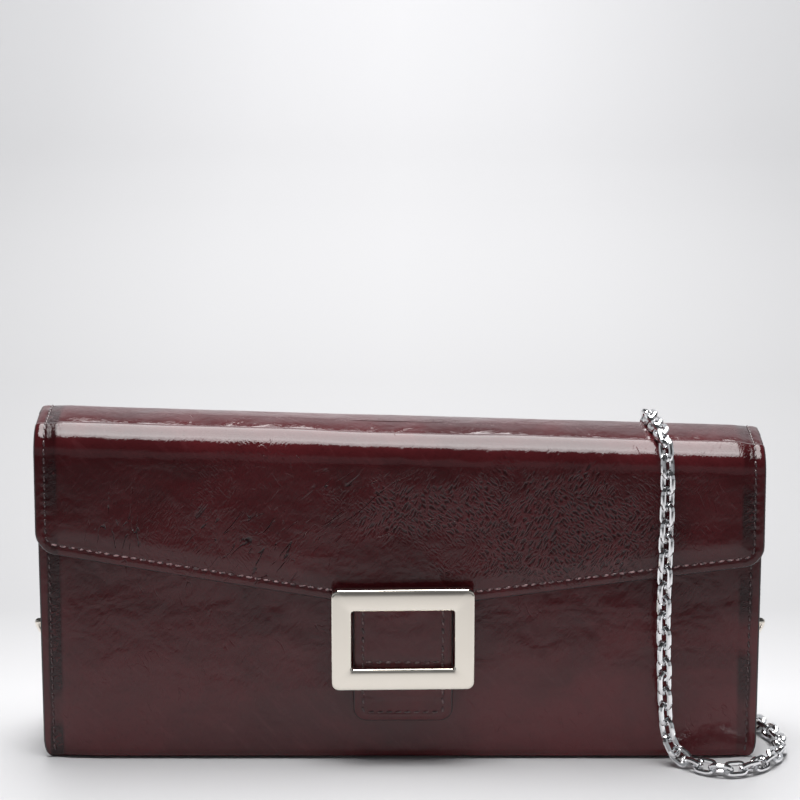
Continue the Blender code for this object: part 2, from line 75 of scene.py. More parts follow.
class Nodes:
    """A short way to write a material's node tree."""

    def __init__(self, name):
        self.material = bpy.data.materials.new(name)
        self.material.use_nodes = True
        self.tree = self.material.node_tree
        self.shader = self.tree.nodes["Principled BSDF"]

    def set(self, **values):
        for name, value in values.items():
            socket = self.shader.inputs[name.replace("_", " ")]
            if isinstance(value, bpy.types.NodeSocket):
                self.tree.links.new(value, socket)
            else:
                socket.default_value = (*value, 1.0) if isinstance(value, tuple) else value
        return self

    def add(self, kind, inputs=None, **settings):
        node = self.tree.nodes.new(kind)
        for name, value in settings.items():
            setattr(node, name, value)
        for name, value in (inputs or {}).items():
            if isinstance(value, bpy.types.NodeSocket):
                self.tree.links.new(value, node.inputs[name])
            else:
                node.inputs[name].default_value = value
        return node

    def place(self, size=1.0, turn=(0.0, 0.0, 0.0)):
        """Object coordinates, turned and then stretched so that a pattern cell has this size in metres."""
        where = self.add("ShaderNodeTexCoord").outputs["Object"]
        turned = self.add("ShaderNodeMapping", {"Vector": where, "Rotation": turn})
        size = size if isinstance(size, tuple) else (size,) * 3
        scale = tuple(1.0 / s for s in size)
        return self.add("ShaderNodeMapping", {"Vector": turned.outputs[0], "Scale": scale}).outputs[0]

    def spot(self):
        """Object coordinates in metres, one output for each axis."""
        return self.add("ShaderNodeSeparateXYZ", {"Vector": self.place()}).outputs

    def noise(self, vector, detail=2.0, rough=0.5, warp=0.0):
        inputs = {"Vector": vector, "Scale": 1.0, "Detail": detail, "Roughness": rough, "Distortion": warp}
        return self.add("ShaderNodeTexNoise", inputs).outputs["Fac"]

    def remap(self, value, low, high, to_low=0.0, to_high=1.0, smooth=True):
        inputs = {"Value": value, "From Min": low, "From Max": high, "To Min": to_low, "To Max": to_high}
        node = self.add("ShaderNodeMapRange", inputs)
        node.interpolation_type = "SMOOTHSTEP" if smooth else "LINEAR"
        return node.outputs["Result"]

    def maths(self, operation, first, second=0.0):
        return self.add("ShaderNodeMath", {0: first, 1: second}, operation=operation).outputs[0]

    def times(self, first, second):
        return self.maths("MULTIPLY", first, second)

    def larger(self, first, second):
        return self.maths("MAXIMUM", first, second)

    def vector_maths(self, operation, first, *second):
        inputs = dict(enumerate((first, *second)))
        return self.add("ShaderNodeVectorMath", inputs, operation=operation).outputs

    def mix(self, share, first, second):
        node = self.add("ShaderNodeMix", {0: share}, data_type="RGBA")
        for socket, value in ((node.inputs[6], first), (node.inputs[7], second)):
            if isinstance(value, bpy.types.NodeSocket):
                self.tree.links.new(value, socket)
            else:
                socket.default_value = (*value, 1.0)
        return node.outputs[2]

    def ramp(self, value, stops):
        """A colour ramp through (place, grey or colour) stops."""
        node = self.add("ShaderNodeValToRGB", {"Fac": value})
        ramp = node.color_ramp
        while len(ramp.elements) < len(stops):
            ramp.elements.new(0.5)
        for element, (place, colour) in zip(ramp.elements, stops):
            element.position = place
            element.color = (*colour, 1.0) if isinstance(colour, tuple) else (colour, colour, colour, 1.0)
        return node.outputs["Color"]

    def bump(self, height, depth, under=None):
        inputs = {"Height": height, "Distance": depth, "Strength": 1.0}
        if under is not None:
            inputs["Normal"] = under
        return self.add("ShaderNodeBump", inputs).outputs[0]


def new_object(name, data):
    obj = bpy.data.objects.new(name, data)
    bpy.context.scene.collection.objects.link(obj)
    return obj


# How pale the floor is painted from FLOOR_NEAR to FLOOR_FAR along Y, and out to FLOOR_ASIDE at each side, in
# metres.
FLOOR_NEAR, FLOOR_FAR, FLOOR_ASIDE = -1.0, 2.0, 0.45
# Painted shade: the floor is dark far in front and darker towards the sides, where the light falls off.
FLOOR_SHADE_BY_DEPTH = [
    (0.0, 0.085), (0.213, 0.10), (0.238, 0.14), (0.250, 0.25), (0.270, 0.42), (0.300, 0.54),
    (0.317, 0.61), (0.333, 0.63), (0.38, 0.43), (0.5, 0.46), (0.667, 0.63), (0.85, 0.88),
]
FLOOR_SHADE_BY_SIDE = [
    (0.0, (1.0, 0.995, 1.012)),
    (0.2, (0.965, 0.961, 0.978)),
    (0.5, (0.845, 0.843, 0.858)),
    (0.8, (0.79, 0.789, 0.802)),
]
# The floor is flat up to SWEEP_START and then turns up with SWEEP_RADIUS.
SWEEP_START, SWEEP_RADIUS, SWEEP_HALF, SWEEP_NEAR, SWEEP_STEPS = 1.2, 0.6, 2.5, -3.0, 16
# The softbox overhead: its near and far edge along Y, its height and its width, in metres.
BOX_NEAR, BOX_FAR, BOX_HEIGHT, BOX_WIDTH, BOX_STRIPS = -0.35, 1.44, 0.89, 0.60, 12
# Its radiance is BOX_BASE, and BOX_PEAK more at its near edge, which dies away over BOX_FALL metres. The first
# strip has only a share of its own.
BOX_BASE, BOX_PEAK, BOX_FALL, BOX_FIRST_SHARE = 3.4, 11.2, 0.62, 0.62
# How strong the room's light is by direction: an axis, from and to along it, and the strengths there.
ROOM_FADES = (("Z", (0.36, 0.47, 1.0, 0.12)), ("Y", (-1.0, 1.0, 0.40, 0.74)))


def floor_and_light():
    """A pale floor that sweeps up behind, one long softbox overhead and a weak fill."""
    floor = Nodes("studio_floor")
    where = floor.add("ShaderNodeTexCoord").outputs["Object"]
    parts = floor.add("ShaderNodeSeparateXYZ", {"Vector": where})
    # The floor's colour is painted shade, along Y and across X.
    depth = floor.ramp(floor.remap(parts.outputs["Y"], FLOOR_NEAR, FLOOR_FAR, smooth=False), FLOOR_SHADE_BY_DEPTH)
    across = floor.remap(floor.maths("ABSOLUTE", parts.outputs["X"]), 0.0, FLOOR_ASIDE, smooth=False)
    sides = floor.ramp(across, FLOOR_SHADE_BY_SIDE)
    tone = floor.add("ShaderNodeMix", {0: 1.0, 6: depth, 7: sides}, data_type="RGBA", blend_type="MULTIPLY")
    floor.set(Base_Color=tone.outputs[2], Roughness=0.9, Specular_IOR_Level=0.2)
    profile = [(SWEEP_NEAR, 0.0), (SWEEP_START, 0.0)]
    for i in range(1, SWEEP_STEPS + 1):
        turn = math.pi / 2 * i / SWEEP_STEPS
        along = SWEEP_START + SWEEP_RADIUS * math.sin(turn)
        profile.append((along, SWEEP_RADIUS - SWEEP_RADIUS * math.cos(turn)))
    points = [(x, y, z) for x in (-SWEEP_HALF, SWEEP_HALF) for y, z in profile]
    count = len(profile)
    faces = [(i, i + 1, count + i + 1, count + i) for i in range(count - 1)]
    sweep = mesh_from("studio_floor", points, faces, (floor.material,))

    # The softbox is brightest near its front edge, so it is made of strips.
    depth = (BOX_FAR - BOX_NEAR) / BOX_STRIPS
    for k in range(BOX_STRIPS):
        middle = BOX_NEAR + depth * (k + 0.5)
        radiance = BOX_BASE + BOX_PEAK * math.exp(-(middle - BOX_NEAR) / BOX_FALL)
        radiance *= BOX_FIRST_SHARE if k == 0 else 1.0
        lamp = bpy.data.lights.new(f"overhead_{k}", "AREA")
        lamp.shape = "RECTANGLE"
        lamp.size, lamp.size_y = BOX_WIDTH, depth
        lamp.energy = radiance * math.pi * BOX_WIDTH * depth
        obj = new_object(lamp.name, lamp)
        obj.location = (0.0, middle, BOX_HEIGHT)
    world = bpy.data.worlds.new("studio")
    bpy.context.scene.world = world
    world.use_nodes = True
    nodes, links = world.node_tree.nodes, world.node_tree.links
    parts = nodes.new("ShaderNodeSeparateXYZ")
    links.new(nodes.new("ShaderNodeTexCoord").outputs["Generated"], parts.inputs["Vector"])
    # The room is dim overhead around the softbox, and its far wall is lighter than the one in front.
    strengths = []
    for axis, span in ROOM_FADES:
        fill = nodes.new("ShaderNodeMapRange")
        for name, value in zip(("From Min", "From Max", "To Min", "To Max"), span):
            fill.inputs[name].default_value = value
        links.new(parts.outputs[axis], fill.inputs["Value"])
        strengths.append(fill.outputs["Result"])
    both = nodes.new("ShaderNodeMath")
    both.operation = "MULTIPLY"
    for k in range(2):
        links.new(strengths[k], both.inputs[k])
    links.new(both.outputs[0], nodes["Background"].inputs["Strength"])
    nodes["Background"].inputs["Color"].default_value = (0.75, 0.77, 0.8, 1.0)


# ---- materials -----------------------------------------------------------------------------------------


def patent_leather():
    """Burgundy patent: a mottled base under a clear coat that follows fine creases and crackle, with painted
    light and shade in its colour.
    """
    look = Nodes("patent_leather")

    def patch(centre, radii):
        """1 inside a soft, ragged oval of the front, 0 outside it. Centre and radii are (x, z) in metres."""
        stretch = (1.0 / radii[0], 0.0, 1.0 / radii[1])
        shift = (-centre[0] / radii[0], 0.0, -centre[1] / radii[1])
        where = look.add("ShaderNodeTexCoord").outputs["Object"]
        placed = look.add("ShaderNodeMapping", {"Vector": where, "Scale": stretch, "Location": shift})
        reach = look.vector_maths("LENGTH", placed.outputs[0])["Value"]
        torn = look.maths("SUBTRACT", look.noise(look.place((0.008, 0.008, 0.007)), 3.0, 0.6), 0.5)
        return look.remap(look.maths("ADD", reach, look.times(torn, 1.4)), 1.25, 0.45)

    def creases(lean, gap, length, width, warp=0.6):
        """Thin broken folds: where a stretched noise crosses its middle. lean turns them from upright."""
        field = look.noise(look.place((gap, 0.02, length), (0.0, lean, 0.0)), 1.0, 0.4, warp)
        line = look.remap(look.maths("ABSOLUTE", look.maths("SUBTRACT", field, 0.5)), 0.0, width, 1.0, 0.0)
        breaks = look.noise(look.place((gap * 0.9, 0.02, length * 0.45), (0.0, lean, 0.0)), 2.0, 0.6)
        return look.times(line, look.remap(breaks, 0.46, 0.58))

    spot = look.spot()
    cloud = look.noise(look.place((0.030, 0.030, 0.020)), 3.0, 0.55, 0.6)
    streak = look.noise(look.place((0.0016, 0.02, 0.009), (0.0, 0.75, 0.0)), 3.0, 0.6, 0.5)
    grain = look.noise(look.place(0.0009), 2.0, 0.6)
    tone = look.mix(look.remap(cloud, 0.36, 0.66), (0.052, 0.0076, 0.0092), (0.080, 0.0112, 0.0138))
    tone = look.mix(look.remap(streak, 0.52, 0.78, 0.0, 0.35), tone, (0.105, 0.026, 0.030))
    tone = look.mix(look.remap(grain, 0.50, 0.80, 0.0, 0.35), tone, (0.018, 0.003, 0.004))

    # Painted light: the lower part is lighter and redder, most of all at the right, for the light it catches
    # there.
    painted_light_low_right = look.times(look.remap(spot["X"], -0.07, 0.08, 0.25, 1.0), look.remap(spot["Z"], 0.056, 0.034))
    painted_light_low_right = look.times(painted_light_low_right, look.remap(cloud, 0.3, 0.7, 0.25, 0.6))
    tone = look.mix(painted_light_low_right, tone, (0.125, 0.017, 0.021))

    # Crackle: a net of fine ridges with dimples between them, right of the middle and fainter elsewhere.
    warp = look.add("ShaderNodeTexNoise", {"Vector": look.place(0.0035), "Scale": 1.0, "Detail": 2.0})
    bent = look.vector_maths("MULTIPLY", warp.outputs["Color"], (1.4,) * 3)[0]
    nets = []
    for lean, size in ((-0.55, (0.00080, 0.02, 0.0028)), (0.75, (0.0009, 0.02, 0.0020))):
        cell = look.vector_maths("ADD", look.place(size, (0.0, lean, 0.0)), bent)[0]
        net = look.add("ShaderNodeTexVoronoi", {"Vector": cell, "Scale": 1.0}, feature="DISTANCE_TO_EDGE")
        nets.append(look.remap(net.outputs["Distance"], 0.0, 0.34))
    either = look.remap(look.noise(look.place(0.013), 1.0, 0.5), 0.42, 0.58)
    net = look.add("ShaderNodeMix", {0: either, 2: nets[0], 3: nets[1]}, data_type="FLOAT").outputs[0]
    scattered = look.noise(look.place((0.030, 0.030, 0.022)), 2.0, 0.5, 0.3)
    scattered = look.remap(scattered, 0.54, 0.66, 0.0, 0.22)
    upper_front = look.times(look.remap(spot["Z"], 0.044, 0.056), look.remap(spot["Y"], -0.013, -0.017))
    crackled = look.larger(patch((0.042, 0.064), (0.033, 0.020)), patch((0.008, 0.071), (0.026, 0.010)))
    crackled = look.times(look.larger(crackled, scattered), upper_front)
    dimples = look.times(net, crackled)

    # Single folds: upright at the left, leaning left of the middle, and a few over everything.
    upright = look.times(creases(-0.06, 0.0022, 0.011, 0.030), patch((-0.075, 0.066), (0.008, 0.012)))
    leaning = look.times(creases(-0.66, 0.0026, 0.012, 0.030), patch((-0.040, 0.062), (0.024, 0.012)))
    sweeping = look.times(creases(-0.95, 0.0040, 0.022, 0.022, 0.9), patch((-0.008, 0.071), (0.020, 0.011)))
    rare = look.times(creases(0.5, 0.0034, 0.010, 0.018), look.remap(cloud, 0.53, 0.62, 0.0, 0.25))
    lines = look.larger(look.larger(upright, leaning), look.larger(sweeping, rare))

    feather = look.noise(look.place((0.0010, 0.003, 0.0030), (0.0, -0.6, 0.0)), 3.0, 0.65, 0.8)
    swell = look.noise(look.place((0.011, 0.011, 0.008)), 2.0, 0.5, 0.4)
    bump = look.bump(swell, 0.00028)
    bump = look.bump(feather, 0.00006, bump)
    bump = look.bump(dimples, -0.00013, bump)
    bump = look.bump(lines, -0.00020, bump)
    bump = look.bump(grain, 0.000006, bump)
    # Painted shade in the creases, a painted highlight on the crackle's ridges, and painted shade in its
    # dimples.
    tone = look.mix(look.remap(lines, 0.1, 0.9, 0.0, 0.85), tone, (0.010, 0.0016, 0.0022))
    painted_ridge_highlight = look.times(look.remap(net, 0.0, 0.35, 1.0, 0.0), crackled)
    tone = look.mix(look.remap(painted_ridge_highlight, 0.2, 1.0, 0.0, 0.6), tone, (0.105, 0.026, 0.030))
    tone = look.mix(look.remap(dimples, 0.15, 0.75, 0.0, 0.75), tone, (0.016, 0.0016, 0.0022))

    # Beside the side seams the leather is drawn in: a crumpled strip, painted dark for the dark reflection in
    # its slope, with painted highlights on its crumples.
    ends = look.maths("ABSOLUTE", spot["X"])
    strip = look.times(look.remap(ends, 0.0905, 0.0920), look.remap(ends, 0.0955, 0.0945))
    crumple = look.noise(look.place((0.0016, 0.003, 0.0009), (0.0, 0.5, 0.0)), 3.0, 0.7, 0.8)
    wander = look.noise(look.place((0.02, 0.02, 0.012)), 1.0, 0.5)
    strip = look.times(strip, look.remap(wander, 0.30, 0.66, 0.2, 1.0))
    crumpled = look.times(strip, crumple)
    bump = look.bump(crumpled, 0.00014, bump)
    # Painted reflection: a dark strip, and painted highlights on the crumples.
    tone = look.mix(look.remap(strip, 0.0, 1.0, 0.0, 0.85), tone, (0.012, 0.0012, 0.0018))
    tone = look.mix(look.remap(crumpled, 0.50, 0.66, 0.0, 0.7), tone, (0.085, 0.016, 0.018))
    look.set(
        Base_Color=tone,
        Roughness=0.45,
        Specular_IOR_Level=0.0,
        Coat_Weight=1.0,
        Coat_Roughness=look.remap(grain, 0.3, 0.7, 0.035, 0.07),
        Coat_IOR=1.455,
        Normal=bump,
        Coat_Normal=bump,
    )
    return look.material


def edge_paint():
    look = Nodes("edge_paint")
    wear = look.noise(look.place(0.004), 3.0, 0.6)
    look.set(
        Base_Color=look.mix(wear, (0.018, 0.010, 0.011), (0.040, 0.022, 0.024)),
        Roughness=0.38,
        Normal=look.bump(wear, 0.00008),
    )
    return look.material


def lining():
    """Smooth calf lining with fine pores."""
    look = Nodes("lining")
    pores = look.add("ShaderNodeTexVoronoi", {"Vector": look.place(0.0011), "Scale": 1.0})
    cells = pores.outputs["Distance"]
    cloud = look.noise(look.place(0.012), 3.0, 0.6)
    tone = look.mix(cloud, (0.042, 0.010, 0.012), (0.072, 0.017, 0.020))
    look.set(
        Base_Color=look.mix(look.remap(cells, 0.1, 0.6, 0.5, 0.0), tone, (0.022, 0.006, 0.007)),
        Roughness=look.remap(cloud, 0.3, 0.7, 0.48, 0.66),
        Normal=look.bump(cells, 0.00006, look.bump(cloud, 0.0004)),
    )
    return look.material


def thread():
    """Waxed dark thread, with glints painted into its colour where it would catch the light."""
    look = Nodes("thread")
    inputs = {"Vector": look.place(0.001, (0.0, 0.6, 0.0)), "Scale": 2.6, "Distortion": 0.6}
    twist = look.add("ShaderNodeTexWave", inputs).outputs["Fac"]
    # The rows along the flap's point get painted glints, those on the tab weaker ones, and those down the
    # sides stay dark.
    spot = look.spot()
    aside = look.maths("ABSOLUTE", spot["X"])
    painted_glint_rows = look.times(look.remap(aside, 0.0935, 0.0925), look.remap(spot["Y"], -0.0165, -0.0175))
    painted_glint_rows = look.times(painted_glint_rows, look.remap(aside, 0.0135, 0.0160, 0.25, 1.0))
    painted_glint_specks = look.remap(look.noise(look.place(0.0011), 2.0, 0.6), 0.42, 0.62)
    tone = look.mix(twist, (0.030, 0.004, 0.006), (0.085, 0.014, 0.018))
    look.set(
        Base_Color=look.mix(look.times(painted_glint_rows, painted_glint_specks), tone, (0.66, 0.38, 0.39)),
        Roughness=0.5,
        Coat_Weight=1.0,
        Coat_Roughness=0.16,
        Coat_IOR=1.6,
        Normal=look.bump(twist, 0.00008),
    )
    return look.material


def metal(name, low, high, roughness):
    """Polished plating with faint wear: its roughness varies, and hairlines catch the light."""
    look = Nodes(name)
    cloud = look.noise(look.place(0.006), 3.0, 0.6)
    hair = look.noise(look.place((0.0002, 0.006, 0.0002), (0.3, 0.2, 0.5)), 2.0, 0.5)
    look.set(
        Base_Color=look.mix(cloud, low, high),
        Metallic=1.0,
        Roughness=look.remap(cloud, 0.3, 0.75, roughness * 0.7, roughness * 1.4),
        Normal=look.bump(hair, 0.0000015),
    )
    return look.material


def tape():
    """Woven zip tape in a herringbone."""
    look = Nodes("zip_tape")
    inputs = {"Vector": look.place(0.001, (0.0, 0.0, 0.78)), "Scale": 2.2, "Distortion": 1.5}
    weave = look.add("ShaderNodeTexWave", inputs, wave_profile="TRI").outputs["Fac"]
    look.set(
        Base_Color=look.mix(weave, (0.020, 0.006, 0.008), (0.070, 0.020, 0.026)),
        Roughness=0.85,
        Sheen_Weight=0.5,
        Normal=look.bump(weave, 0.0002),
    )
    return look.material


def board():
    """Grey stiffening board, hidden between the leather and the lining."""
    look = Nodes("board")
    fibre = look.noise(look.place((0.002, 0.0008, 0.006), (0.2, 0.0, 0.3)), 3.0, 0.6)
    tone = look.mix(fibre, (0.16, 0.13, 0.11), (0.26, 0.22, 0.19))
    look.set(Base_Color=tone, Roughness=0.9, Normal=look.bump(fibre, 0.0001))
    return look.material


LEATHER = patent_leather()
EDGE = edge_paint()
LINING = lining()
THREAD = thread()
NICKEL = metal("nickel", (0.82, 0.765, 0.68), (0.87, 0.815, 0.73), 0.075)
CHAIN = metal("silver_chain", (0.83, 0.83, 0.84), (0.90, 0.90, 0.91), 0.10)
TEETH = metal("zip_metal", (0.62, 0.60, 0.56), (0.76, 0.74, 0.70), 0.22)
TAPE = tape()
BOARD = board()


# ---- shapes --------------------------------------------------------------------------------------------


def settled(points):
    """The leather has settled a little towards the right, so heights shrink evenly along the length."""
    moved = np.array(points, float)
    moved[..., 2] *= 1.0 - SLOUCH * moved[..., 0]
    return moved


def mesh_from(name, points, faces, materials, looks=None, smooth=True):
    mesh = bpy.data.meshes.new(name)
    mesh.from_pydata([tuple(p) for p in points], [], faces)
    for item in materials:
        mesh.materials.append(item)
    if looks is not None:
        mesh.polygons.foreach_set("material_index", looks)
    mesh.polygons.foreach_set("use_smooth", [smooth] * len(mesh.polygons))
    mesh.update()
    return new_object(name, mesh)


def uneven(x, y, z):
    """Smooth noise at a place, from about -1 to 1."""
    return noise.noise(Vector((x, y, z)))


def lengths_of(points):
    """The length of a line up to each of its points."""
    steps = np.linalg.norm(np.diff(points, axis=0), axis=1)
    return np.concatenate([[0.0], np.cumsum(steps)])


def lofted(rings, sides, first=0, round_it=False):
    """The faces between rings of points that start at first. round_it also joins the last to the first."""
    faces = []
    for i in range(rings if round_it else rings - 1):
        here, there = first + i * sides, first + (i + 1) % rings * sides
        for k in range(sides):
            j = (k + 1) % sides
            faces.append((here + k, here + j, there + j, there + k))
    return faces


@contextlib.contextmanager
def editing(obj):
    """The object's mesh as a bmesh, which is written back at the end."""
    shape = bmesh.new()
    shape.from_mesh(obj.data)
    yield shape
    shape.to_mesh(obj.data)
    shape.free()


def face_out(obj):
    with editing(obj) as shape:
        bmesh.ops.recalc_face_normals(shape, faces=shape.faces)
    return obj


def fit(obj, node, body):
    """obj stands for this CAD node and moves with the body."""
    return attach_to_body(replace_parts(obj, node), body)


def leather_sheet(name, outer, inner, rims, materials=None, bead=0.45):
    """A sheet of leather between two grids of points, rows by columns. rims says which borders (first row,
    last row, first column, last column) end in a rounded, painted edge, which stands bead mm proud."""
    rows, cols = outer.shape[:2]
    points = [*outer.reshape(-1, 3), *inner.reshape(-1, 3)]
    base = rows * cols
    faces, looks = [], []
    for i in range(rows - 1):
        for j in range(cols - 1):
            a, b, c, d = i * cols + j, i * cols + j + 1, (i + 1) * cols + j + 1, (i + 1) * cols + j
            faces += [(a, b, c, d), (base + d, base + c, base + b, base + a)]
            looks += [0, 2]
    border = [(0, j, 0) for j in range(cols - 1)] + [(i, cols - 1, 3) for i in range(rows - 1)]
    border += [(rows - 1, j, 1) for j in range(cols - 1, 0, -1)]
    border += [(i, 0, 2) for i in range(rows - 1, 0, -1)]
    count = len(border)
    rings = []
    for k, (i, j, _) in enumerate(border):
        before, after = border[k - 1], border[(k + 1) % count]
        along = outer[after[0], after[1]] - outer[before[0], before[1]]
        depth = inner[i, j] - outer[i, j]
        out = np.cross(along, depth)
        out /= np.linalg.norm(out) + 1e-12
        inward = outer[min(max(i, 1), rows - 2), min(max(j, 1), cols - 2)] - outer[i, j]
        out *= -1.0 if out @ inward > 0 else 1.0
        ring = [i * cols + j]
        for step in (0.12, 0.32, 0.5, 0.68, 0.88):
            ring.append(len(points))
            points.append(outer[i, j] + depth * step + out * bead * MM * math.sin(math.pi * step) ** 0.6)
        ring.append(base + i * cols + j)
        rings.append(ring)
    for k, (_, _, where) in enumerate(border):
        if not rims[where]:
            continue
        here, there = rings[k], rings[(k + 1) % count]
        for m in range(len(here) - 1):
            faces.append((here[m], there[m], there[m + 1], here[m + 1]))
            looks.append(1)
    keep = sorted({index for face in faces for index in face})
    renumber = {old: new for new, old in enumerate(keep)}
    obj = mesh_from(
        name,
        [points[i] for i in keep],
        [tuple(renumber[i] for i in face) for face in faces],
        materials or (LEATHER, EDGE, LINING),
        looks,
    )
    return face_out(obj)


class Track:
    """A path in the YZ plane, in mm, read by length. Outward is to the right of travel."""

    def __init__(self, points):
        self.points = np.array(points, float)
        self.at = lengths_of(self.points)
        self.length = self.at[-1]

    def read(self, t):
        y = np.interp(t, self.at, self.points[:, 0])
        z = np.interp(t, self.at, self.points[:, 1])
        return y, z

    def out(self, t):
        y1, z1 = self.read(min(t + 0.5, self.length))
        y0, z0 = self.read(max(t - 0.5, 0.0))
        reach = math.hypot(y1 - y0, z1 - z0)
        return (z1 - z0) / reach, -(y1 - y0) / reach


def arc(centre, radius, start, end, steps=24):
    turns = np.radians(np.linspace(start, end, steps + 1))
    return [(centre[0] + radius * math.cos(a), centre[1] + radius * math.sin(a)) for a in turns]


def ease(value):
    value = min(max(value, 0.0), 1.0)
    return value * value * (3.0 - 2.0 * value)


# Distances from an edge at which a panel has its rows and columns, in mm. The seam is one of them.
EDGE_STEPS = [0, 0.06, 0.18, 0.36, 0.6, 0.9, 1.25, 1.6, 1.9, 2.15, 2.4]
EDGE_STEPS += [2.65, 2.95, 3.3, 3.7, 4.2, 4.8, 5.5, 6.4, 7.4, 8.6]
SEAM_AT = 2.4
STITCH = 2.4  # the pitch of the stitches
SEAM = EDGE_STEPS.index(SEAM_AT)


def stations(half, coarse=0.6):
    """Positions from -half to half, close together near both edges."""
    inner = np.linspace(-half + 10.0, half - 10.0, int((2 * half - 20.0) / coarse) + 1)
    near = np.array(EDGE_STEPS, float)
    return np.concatenate([near - half, inner, (half - near)[::-1]])


def round_corner(x, t, side, gap, corner):
    """The place across and along of a point this far from both edges, moved in onto a round corner."""
    if side < corner and gap < corner:
        a, b = corner - side, corner - gap
        cut = 1.0 - max(a, b) / math.hypot(a, b)
        x -= math.copysign(a * cut, x)
        t -= b * cut
    return x, t


def normals_of(outer, inner):
    """The normals of a grid of points, pointing away from the sheet's inner side."""
    normals = np.cross(np.gradient(outer, axis=0), np.gradient(outer, axis=1))
    normals /= np.linalg.norm(normals, axis=2, keepdims=True)
    return normals * np.sign(np.sum(normals * (outer - inner), axis=2, keepdims=True))


def margin(d, pad=0.6, seam=SEAM_AT):
    """Height of the good side at distance d from an edge: thin margin, stitch groove, padded panel."""
    swell = pad * ease((d - 3.0) / 4.2) - 0.22 * max(1.0 - d / 1.4, 0.0) ** 2
    return swell - 0.20 * math.exp(-(((d - seam) / 0.42) ** 2))


def pucker(d, along):
    """How the stitches draw the leather in, at distance d from the edge and this far along it."""
    pull = math.cos(2 * math.pi * along / STITCH) + 0.7 * uneven(along / 2.1, d / 1.5, 4.0)
    return 0.07 * pull * math.exp(-(((d - SEAM_AT) / 0.9) ** 2))


def ripple(x, z, seed, calm=1.0):
    """The uneven lie of soft leather, in mm."""
    large = uneven(x / 46.0, seed, z / 30.0)
    middle = uneven(x / 17.0, seed + 7.0, z / 12.0)
    small = uneven((x + 0.5 * z) / 6.5, seed + 13.0, z / 5.0)
    return calm * (0.34 * large + 0.12 * middle + 0.028 * small)


def stitches(name, line, pitch=STITCH, length=1.9, width=0.56, lean=0.10):
    """One row of stitches along a line of (point, normal) pairs in metres. Sizes are in mm."""
    spots = np.array([p for p, _ in line], float)
    normals = np.array([n for _, n in line], float)
    at = lengths_of(spots)

    def read(rows, mark):
        return np.array([np.interp(mark, at, rows[:, c]) for c in range(3)])

    count = max(int(at[-1] / (pitch * MM)), 1)
    gap = at[-1] / count
    rings, sides = 7, 6
    points, faces = [], []
    for k in range(count):
        middle = gap * (k + 0.5)
        here = read(spots, middle)
        ahead, behind = read(spots, min(middle + 0.3 * MM, at[-1])), read(spots, max(middle - 0.3 * MM, 0))
        up = read(normals, middle)
        up /= np.linalg.norm(up)
        run = (ahead - behind) / np.linalg.norm(ahead - behind)
        aside = np.cross(up, run)
        wobble = 0.05 * math.sin(k * 2.7)
        run = run + aside * (lean + wobble)
        run /= np.linalg.norm(run)
        aside = np.cross(up, run)
        first = len(points)
        for i in range(rings):
            s = -1.0 + i / 3.0
            swell = math.sqrt(max(1.0 - (s * 0.94) ** 4, 0.0)) + 0.05
            centre = here + run * s * length / 2 * MM + up * (0.20 * (1 - 1.5 * s * s) - 0.05) * MM
            for j in range(sides):
                turn = math.pi / 3 * j
                radial = aside * math.cos(turn) * width / 2 + up * math.sin(turn) * width * 0.42
                points.append(centre + radial * swell * MM)
        faces += lofted(rings, sides, first)
        faces.append(tuple(first + j for j in range(sides - 1, -1, -1)))
        faces.append(tuple(first + (rings - 1) * sides + j for j in range(sides)))
    return mesh_from(name, points, faces, (THREAD,))


def joined(name, objects):
    """One object from several meshes that share their materials' order."""
    shape = bmesh.new()
    for obj in objects:
        shape.from_mesh(obj.data)
    mesh = bpy.data.meshes.new(name)
    shape.to_mesh(mesh)
    shape.free()
    for item in objects[0].data.materials:
        mesh.materials.append(item)
    for obj in objects:
        bpy.data.objects.remove(obj, do_unlink=True)
    return new_object(name, mesh)


